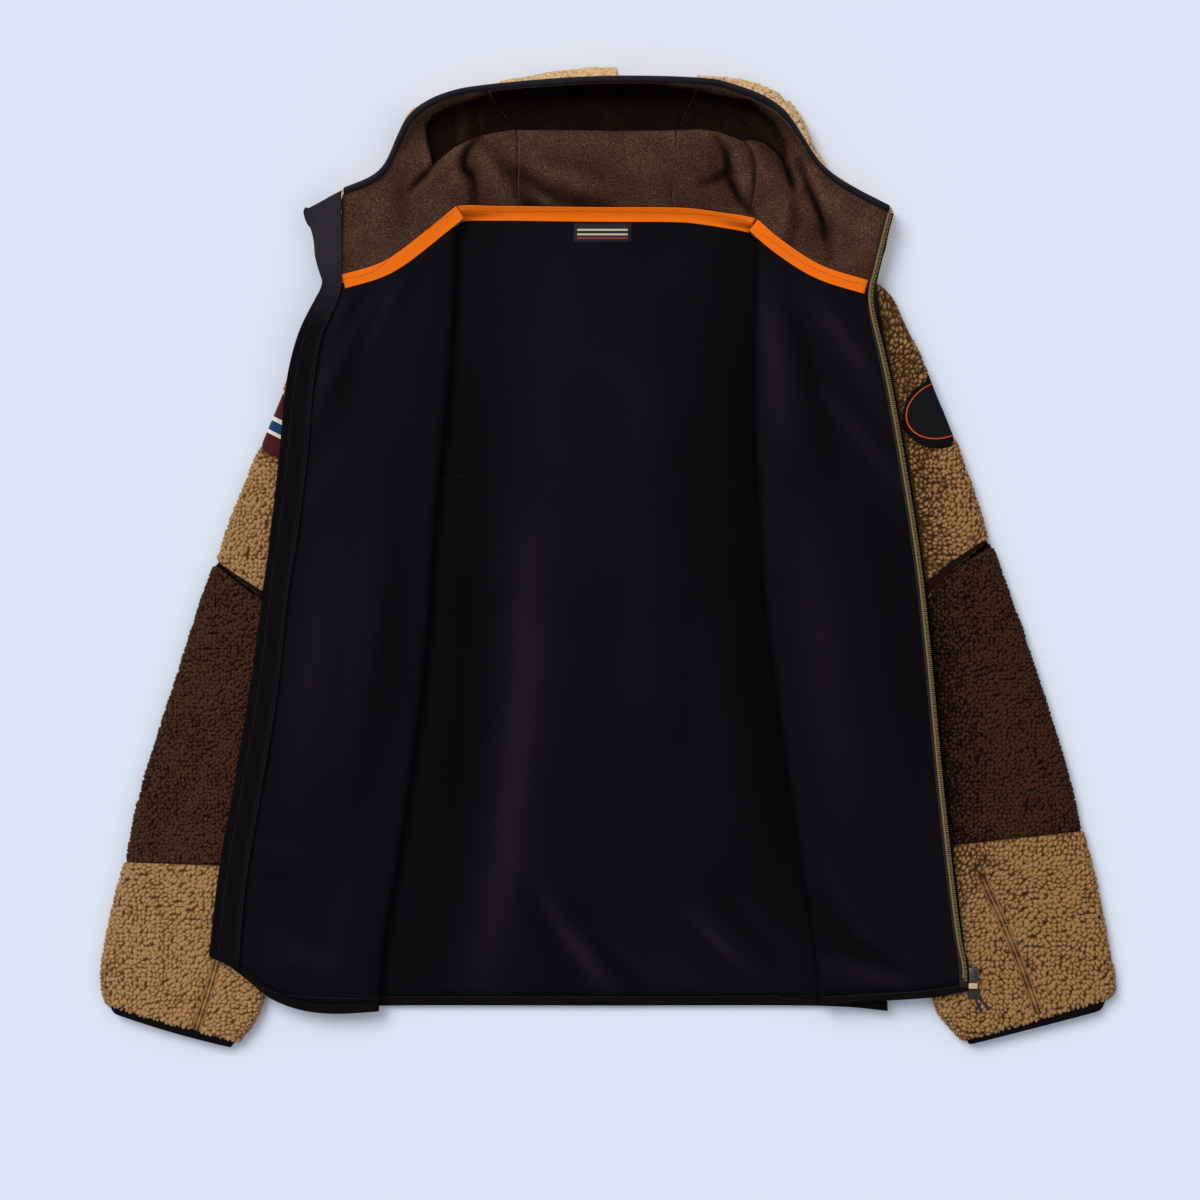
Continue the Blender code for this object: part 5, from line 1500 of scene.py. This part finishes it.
# %% Bands at the elbows
BAND = woven("elbow_band", linear(24, 13, 8), linear(38, 22, 14), 0.8 * MM, 0.9, 0.0, height=0.3)
shader_of(BAND).inputs["Specular IOR Level"].default_value = 0.03
BAND_HALF_PX = {"left": 4.2, "right": 5.6}
BAND_RISE = 0.5 * MM
BAND_GROUND = 3.0 * MM  # where the band runs past the edge of both panels
for side, stops in ELBOW_BANDS.items():
    ground = tree_of(nodes[side + "_sleeve_upper"], nodes[side + "_sleeve_elbow"])
    band = ribbon(side + "_elbow_band", BAND, *both_sides(stops, BAND_HALF_PX[side]), 8, 60, 1.0)
    points = points_of(band)
    for point in points:
        point[2] += height_on(ground, point[0], point[1], BAND_GROUND) + BAND_RISE
    set_points(band, points)

# %% [markdown]
# ## Patches
# A striped patch and an oval one are sewn round the outer edges of the upper sleeves. Both stay
# plain here: even stripes on the one, and on the other a bare black field inside an orange
# ring. Strips of cloth for each stripe would be far too thin to sew or to see, so stripes and
# ring are painted, by Object coordinates that are turned and centred on each patch.

# %% Striped patch
def cross_place(material, centre, turn, size):
    """Object coordinates one by one, centred on a place of the photograph, turned and scaled."""
    place = add_node(material, "ShaderNodeTexCoord")
    moved = add_node(material, "ShaderNodeMapping", vector_type="TEXTURE")
    moved.inputs["Location"].default_value = from_photo(*centre)
    moved.inputs["Rotation"].default_value = (0, 0, turn)
    moved.inputs["Scale"].default_value = size
    link(material, place.outputs["Object"], moved.inputs["Vector"])
    apart = add_node(material, "ShaderNodeSeparateXYZ")
    link(material, moved.outputs["Vector"], apart.inputs["Vector"])
    return apart.outputs


STRIPE_CENTRE, STRIPE_TURN = (281, 429.5), math.radians(-27)
STRIPES_LENGTH = 48 * MM  # across all stripes
MAROON, CREAM, BLUE = linear(74, 24, 32), linear(228, 218, 196), linear(24, 62, 104)
STRIPED = new_material("striped_patch", MAROON, 0.8, 0.1, 0.1)
axes = cross_place(STRIPED, STRIPE_CENTRE, STRIPE_TURN, (1, 1, 1))
paint(STRIPED, colours(STRIPED, scaled_sum(STRIPED, axes["Y"], 1 / STRIPES_LENGTH, 0.5), [
    (0.0, MAROON), (0.335, CREAM), (0.40, BLUE), (0.58, CREAM), (0.66, MAROON),
], sharp=True))
bump(STRIPED, ribs(STRIPED, 0.9 * MM, 1.1), 0.18 * MM, 0.7)
print("the stripes run over", round(STRIPES_LENGTH / MM), "mm")

# %% Oval patch
OVAL = new_material("oval_patch", linear(14, 13, 15), 0.75, 0.0, 0.05)
OVAL_CENTRE = (943.2, 409.2)
RING_SIZE = (35.0 * MM, 25.4 * MM, 1.0)  # half widths of the ring, across the sleeve and along it
RING_HALF = 0.036  # half the ring's width, as a share of those
OVAL_TURN = math.radians(21.8)
axes = cross_place(OVAL, OVAL_CENTRE, OVAL_TURN, RING_SIZE)
flat_place = add_node(OVAL, "ShaderNodeCombineXYZ")
link(OVAL, axes["X"], flat_place.inputs["X"])
link(OVAL, axes["Y"], flat_place.inputs["Y"])
radius = add_node(OVAL, "ShaderNodeVectorMath", operation="LENGTH")
link(OVAL, flat_place.outputs["Vector"], radius.inputs[0])
BLACK, RING = linear(13, 12, 14), linear(206, 74, 34)
paint(OVAL, colours(OVAL, radius.outputs["Value"], [
    (0.0, linear(20, 20, 22)), (1 - RING_HALF, RING), (0.999, BLACK),
], sharp=True))
bump(OVAL, ribs(OVAL, 0.9 * MM, 0.6), 0.2 * MM, 0.8)
print("the ring is", round(RING_SIZE[0] / MM * 2), "by", round(RING_SIZE[1] / MM * 2), "mm")

# %% Both patches
PATCH_RISE = 2.3 * MM
PATCH_FOOT, PATCH_FULL = 4 * MM, 8 * MM  # below the first height a patch stays, and this much above it moves
INNER_WAY = np.array([-0.928, -0.372])  # from the sleeve's outer edge inwards
INNER_REACH = 18 * MM
OVAL_OUT = 4.4 * MM  # how far the oval's inner edge is drawn over the pile
patches = {
    "stripe": fine_copy("stripe_patch", "stripe_patch_cloth", STRIPED, 2),
    "oval": fine_copy("oval_patch", "oval_patch_cloth", OVAL, 2),
}
for piece in patches.values():
    points = points_of(piece)
    upper = np.clip((points[:, 2] - PATCH_FOOT) / PATCH_FULL, 0, 1)
    points[:, 2] += upper * PATCH_RISE
    if piece is patches["oval"]:
        middle = np.array(from_photo(*OVAL_CENTRE).xy)
        outwards = points[:, :2] - middle
        inner = np.clip((outwards @ INNER_WAY) / INNER_REACH + 0.25, 0, 1) * upper
        points[:, :2] += inner[:, None] * outwards / np.linalg.norm(outwards, axis=1)[:, None] * OVAL_OUT
    set_points(piece, points)
print("patch faces:", {name: len(piece.data.polygons) for name, piece in patches.items()})

# %% [markdown]
# ## Neck label
# The label at the neck is a stiff woven rectangle, black with three plain lines and a bare
# margin at both ends. The lines are painted as the stripes are, and a second test keeps them
# off the margins.

# %% Neck label
LABEL = new_material("neck_label", linear(34, 32, 36), 0.6, 0.0, 0.1)
LABEL_MIDDLE = (602.5, 231.5)
LABEL_SIZE = (57.7 * PIXEL, 18.9 * PIXEL, 1.0)
MARGIN_FROM = 0.44  # of the label's length, from its middle
axes = cross_place(LABEL, LABEL_MIDDLE, 0.0, LABEL_SIZE)
shifted = add_node(LABEL, "ShaderNodeMath", operation="ADD")
shifted.inputs[1].default_value = 0.5
link(LABEL, axes["Y"], shifted.inputs[0])
WOVEN_BLACK, CREAM_LINE, ORANGE_LINE = linear(38, 35, 40), linear(200, 184, 156), linear(170, 76, 40)
lines = colours(LABEL, shifted.outputs[0], [
    (0.0, WOVEN_BLACK), (0.19, ORANGE_LINE), (0.24, WOVEN_BLACK), (0.36, CREAM_LINE), (0.46, WOVEN_BLACK),
    (0.6, CREAM_LINE), (0.7, WOVEN_BLACK),
], sharp=True)
inwards = add_node(LABEL, "ShaderNodeMath", operation="ABSOLUTE")
link(LABEL, axes["X"], inwards.inputs[0])
within = add_node(LABEL, "ShaderNodeMath", operation="LESS_THAN")
within.inputs[1].default_value = MARGIN_FROM
link(LABEL, inwards.outputs[0], within.inputs[0])
with_margins = add_node(LABEL, "ShaderNodeMix", data_type="RGBA")
with_margins.inputs["A"].default_value = (*WOVEN_BLACK, 1.0)
link(LABEL, within.outputs[0], with_margins.inputs["Factor"])
link(LABEL, lines, with_margins.inputs["B"])
paint(LABEL, with_margins.outputs["Result"])
bump(LABEL, ribs(LABEL, 0.7 * MM, 0.0), 0.15 * MM, 0.8)
label = fine_copy("neck_label", "neck_label_cloth", LABEL, 3, 1.2)
print("label faces:", len(label.data.polygons))

# %% [markdown]
# ## Slider, box and pull
# The zip ends in moulded parts. Copies of their solids get a Bevel, because a moulded or cast
# edge is never sharp. The slider's metal is dark and worn, the box is cream plastic, and the
# pull is a black cord in a moulded grip.

# %% Slider, box and pull
def moulded(name, colour, roughness, metallic, worn):
    """Metal or plastic with paler, worn marks and a slightly rough skin."""
    made = new_material(name, colour, roughness, 0.0, 0.5)
    shader_of(made).inputs["Metallic"].default_value = metallic
    marks = noise(made, 500, 4.0)
    paint(made, colours(made, marks, [(0.35, colour), (0.75, worn)]))
    bump(made, noise(made, 1500, 2.0), 0.08 * MM, 0.5)
    return made


SLIDER_METAL = moulded("slider_metal", linear(40, 40, 43), 0.45, 0.6, linear(84, 84, 88))
BOX_CREAM = moulded("box_cream", linear(176, 146, 102), 0.5, 0.0, linear(214, 188, 146))
PULL_BLACK = moulded("pull_black", linear(14, 13, 15), 0.65, 0.0, linear(34, 33, 37))


def bevelled_copy(node, material, body, edge):
    """A copy of a solid with softened edges, which then stands for it."""
    piece = put_object(node + "_finish", mesh_of(merged_copy(node), node + "_finish"), material)
    soft = piece.modifiers.new("soft_edge", "BEVEL")
    soft.width = edge
    soft.segments = 3
    soft.limit_method = "ANGLE"
    bake(piece)
    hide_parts(node)
    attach(piece, body)
    return piece


TAILS = [[(975.8, 999), (979.8, 1011)], [(980.4, 998), (989.6, 1010)]]
TAILS_TOP_PX = (978, 999.6)
TAIL_WIDER = 1.75
TAIL_STEPS = 8


def widen_tails(piece):
    """Makes the two ends of the pull's cord as full as they look."""
    spots = [place for stops in TAILS for place in photo_route(stops, TAIL_STEPS)]
    start = from_photo(*TAILS_TOP_PX).y
    for vertex in piece.data.vertices:
        if vertex.co.y < start:
            near = min(spots, key=lambda place: (place.xy - vertex.co.xy).length)
            offset = vertex.co.xy - near.xy
            vertex.co.xy = near.xy + offset * TAIL_WIDER


hardware = [
    bevelled_copy("zip_slider", SLIDER_METAL, "jacket", 0.35 * MM),
    bevelled_copy("zip_box", BOX_CREAM, "jacket", 0.3 * MM),
    bevelled_copy("zip_pull", PULL_BLACK, "zip_pull", 0.12 * MM),
]
widen_tails(hardware[2])
print("hardware faces:", [len(o.data.polygons) for o in hardware])

# %% [markdown]
# ## Stitches
# Every seam that shows carries a row of stitches. One stitch is a small rounded block, repeated
# along a route and set on whatever lies below it. Its thread is a little lighter than the cloth,
# or it would be lost on black.

# %% Stitches
THREADS = {
    "black": new_material("thread_black", linear(34, 31, 36), 0.6, 0.0, 0.2),
    "orange": new_material("thread_orange", linear(176, 62, 4), 0.7, 0.0, 0.2),
    "brown": new_material("thread_brown", linear(112, 82, 64), 0.8, 0.0, 0.2),
    "tan": new_material("thread_tan", linear(120, 86, 50), 0.8, 0.0, 0.2),
}
TWIST_SCALE = 1200
for thread in THREADS.values():
    bump(thread, noise(thread, TWIST_SCALE, 2.0), 0.1 * MM, 0.6)
STITCH = rounded_block((1.9 * MM, 0.5 * MM, 0.35 * MM), 0.12 * MM)
STITCH_PITCH = 3.0 * MM
THREAD_RISE = 0.1 * MM  # above the cloth


def stitch_row(name, thread, route, tree):
    """A row of stitches along a route, on whatever lies below it."""
    placed = rest_on(route, tree, THREAD_RISE)
    return repeat_shape("stitches_" + name, STITCH, along_route(placed, STITCH_PITCH), THREADS[thread])


print("faces of one stitch:", len(STITCH.polygons))

# %% Stitches of the seams
SEAMS = [
    # name, thread, route in the photograph
    ("tape_back", "orange", [(465, 210.5), (510, 210.6), (584, 210.4), (640, 211.2), (695, 213),
                             (725, 216.6), (748, 221.5)]),
    ("tape_left", "orange", [(346, 279.4), (373, 272.3), (399, 252), (436, 224.6), (455, 212.6)]),
    ("tape_right", "orange", [(762, 234.6), (783.7, 250.5), (809.6, 267.2), (842.9, 280.2), (864, 285)]),
    ("side_seam", "brown", [(747.2, 144), (753.8, 155), (756.6, 172), (755.2, 193), (752.4, 207)]),
    ("panel_right", "brown", [(673.2, 135), (673.4, 165), (672.6, 205)]),
    ("panel_left", "brown", [(520.6, 137), (519.4, 165), (518.6, 203)]),
    ("hem_left", "black", [(222, 962), (246, 980), (276, 992), (310, 996.6), (376, 998.4)]),
    ("hem_back", "black", [(382, 998), (500, 998.4), (620, 998.4), (700, 998), (816, 997)]),
    ("hem_right", "black", [(826, 996.4), (880, 993.6), (932, 989.6), (962, 985)]),
    ("rim_left", "black", [(349, 190.4), (372, 180.5), (389, 168), (397, 150), (406, 131), (424, 111),
                           (446, 101.5)]),
    ("rim_top", "black", [(446, 101.5), (500, 93), (560, 87.4), (640, 84.4), (700, 89), (745, 99.5),
                          (775, 113)]),
    ("rim_right", "black", [(775, 113), (794, 135), (806, 156), (822, 173.4), (846, 187.5), (872, 199.6),
                            (884, 206)]),
]
SEAM_TOP = 30  # in mm, only where nothing lies below a stitch
STEPS_PER_STOP = 24
ground = tree_of(
    back_lining, left_lining, right_lining, flap, *trims.values(), *hood_linings.values(),
    *cuff_strips.values(),
)
for name, thread, stops in SEAMS:
    line = photo_route(at_height(stops, SEAM_TOP), STEPS_PER_STOP * len(stops))
    stitch_row(name, thread, line, ground)

# %% Stitches of the flap and the cuffs
FLAP_STEPS, FLAP_SEWN = 200, slice(26, -2)  # the collar end of the flap isn't sewn down
FLAP_ROWS = {"flap_outer": 0.30, "flap_seam_a": 0.86, "flap_seam_b": 0.94}  # shares of its width
CUFF_STEPS, CUFF_SHIFT = 60, 1.6 * MM
flap_edges = [photo_route(edge, FLAP_STEPS) for edge in (FLAP_OUTER, FLAP_INNER)]
for name, share in FLAP_ROWS.items():
    line = [a.lerp(b, share) for a, b in zip(*flap_edges)][FLAP_SEWN]
    stitch_row(name, "black", line, ground)
for side, strip_stops in CUFF_STRIPS.items():
    for name, shift in (("a", -CUFF_SHIFT), ("b", CUFF_SHIFT)):
        line = side_line(photo_route(strip_stops, CUFF_STEPS), shift)[1:-1]
        line = [p + Vector((0, 0, STRIP_TOP * MM)) for p in line]
        row = stitch_row(side + "_cuff_" + name, "tan", line, tree_of(cuff_strips[side]))

# %% [markdown]
# ## Fleece that stays plain
# The outer sides of the back and of the two fronts lie underneath, and only their thin edges
# could be seen. Curls there would cost many triangles and show nothing, so these solids keep
# their own surface and only take the material of the fleece.

# %% Fleece that stays plain
for node in ("back", "left_front", "right_front"):
    dress(node, TAN_PILE)

added = [o for o in bpy.data.objects if o.type == "MESH" and o not in nodes.values() and o is not floor]
print("triangles added:", sum(len(f.vertices) - 2 for o in added for f in o.data.polygons))
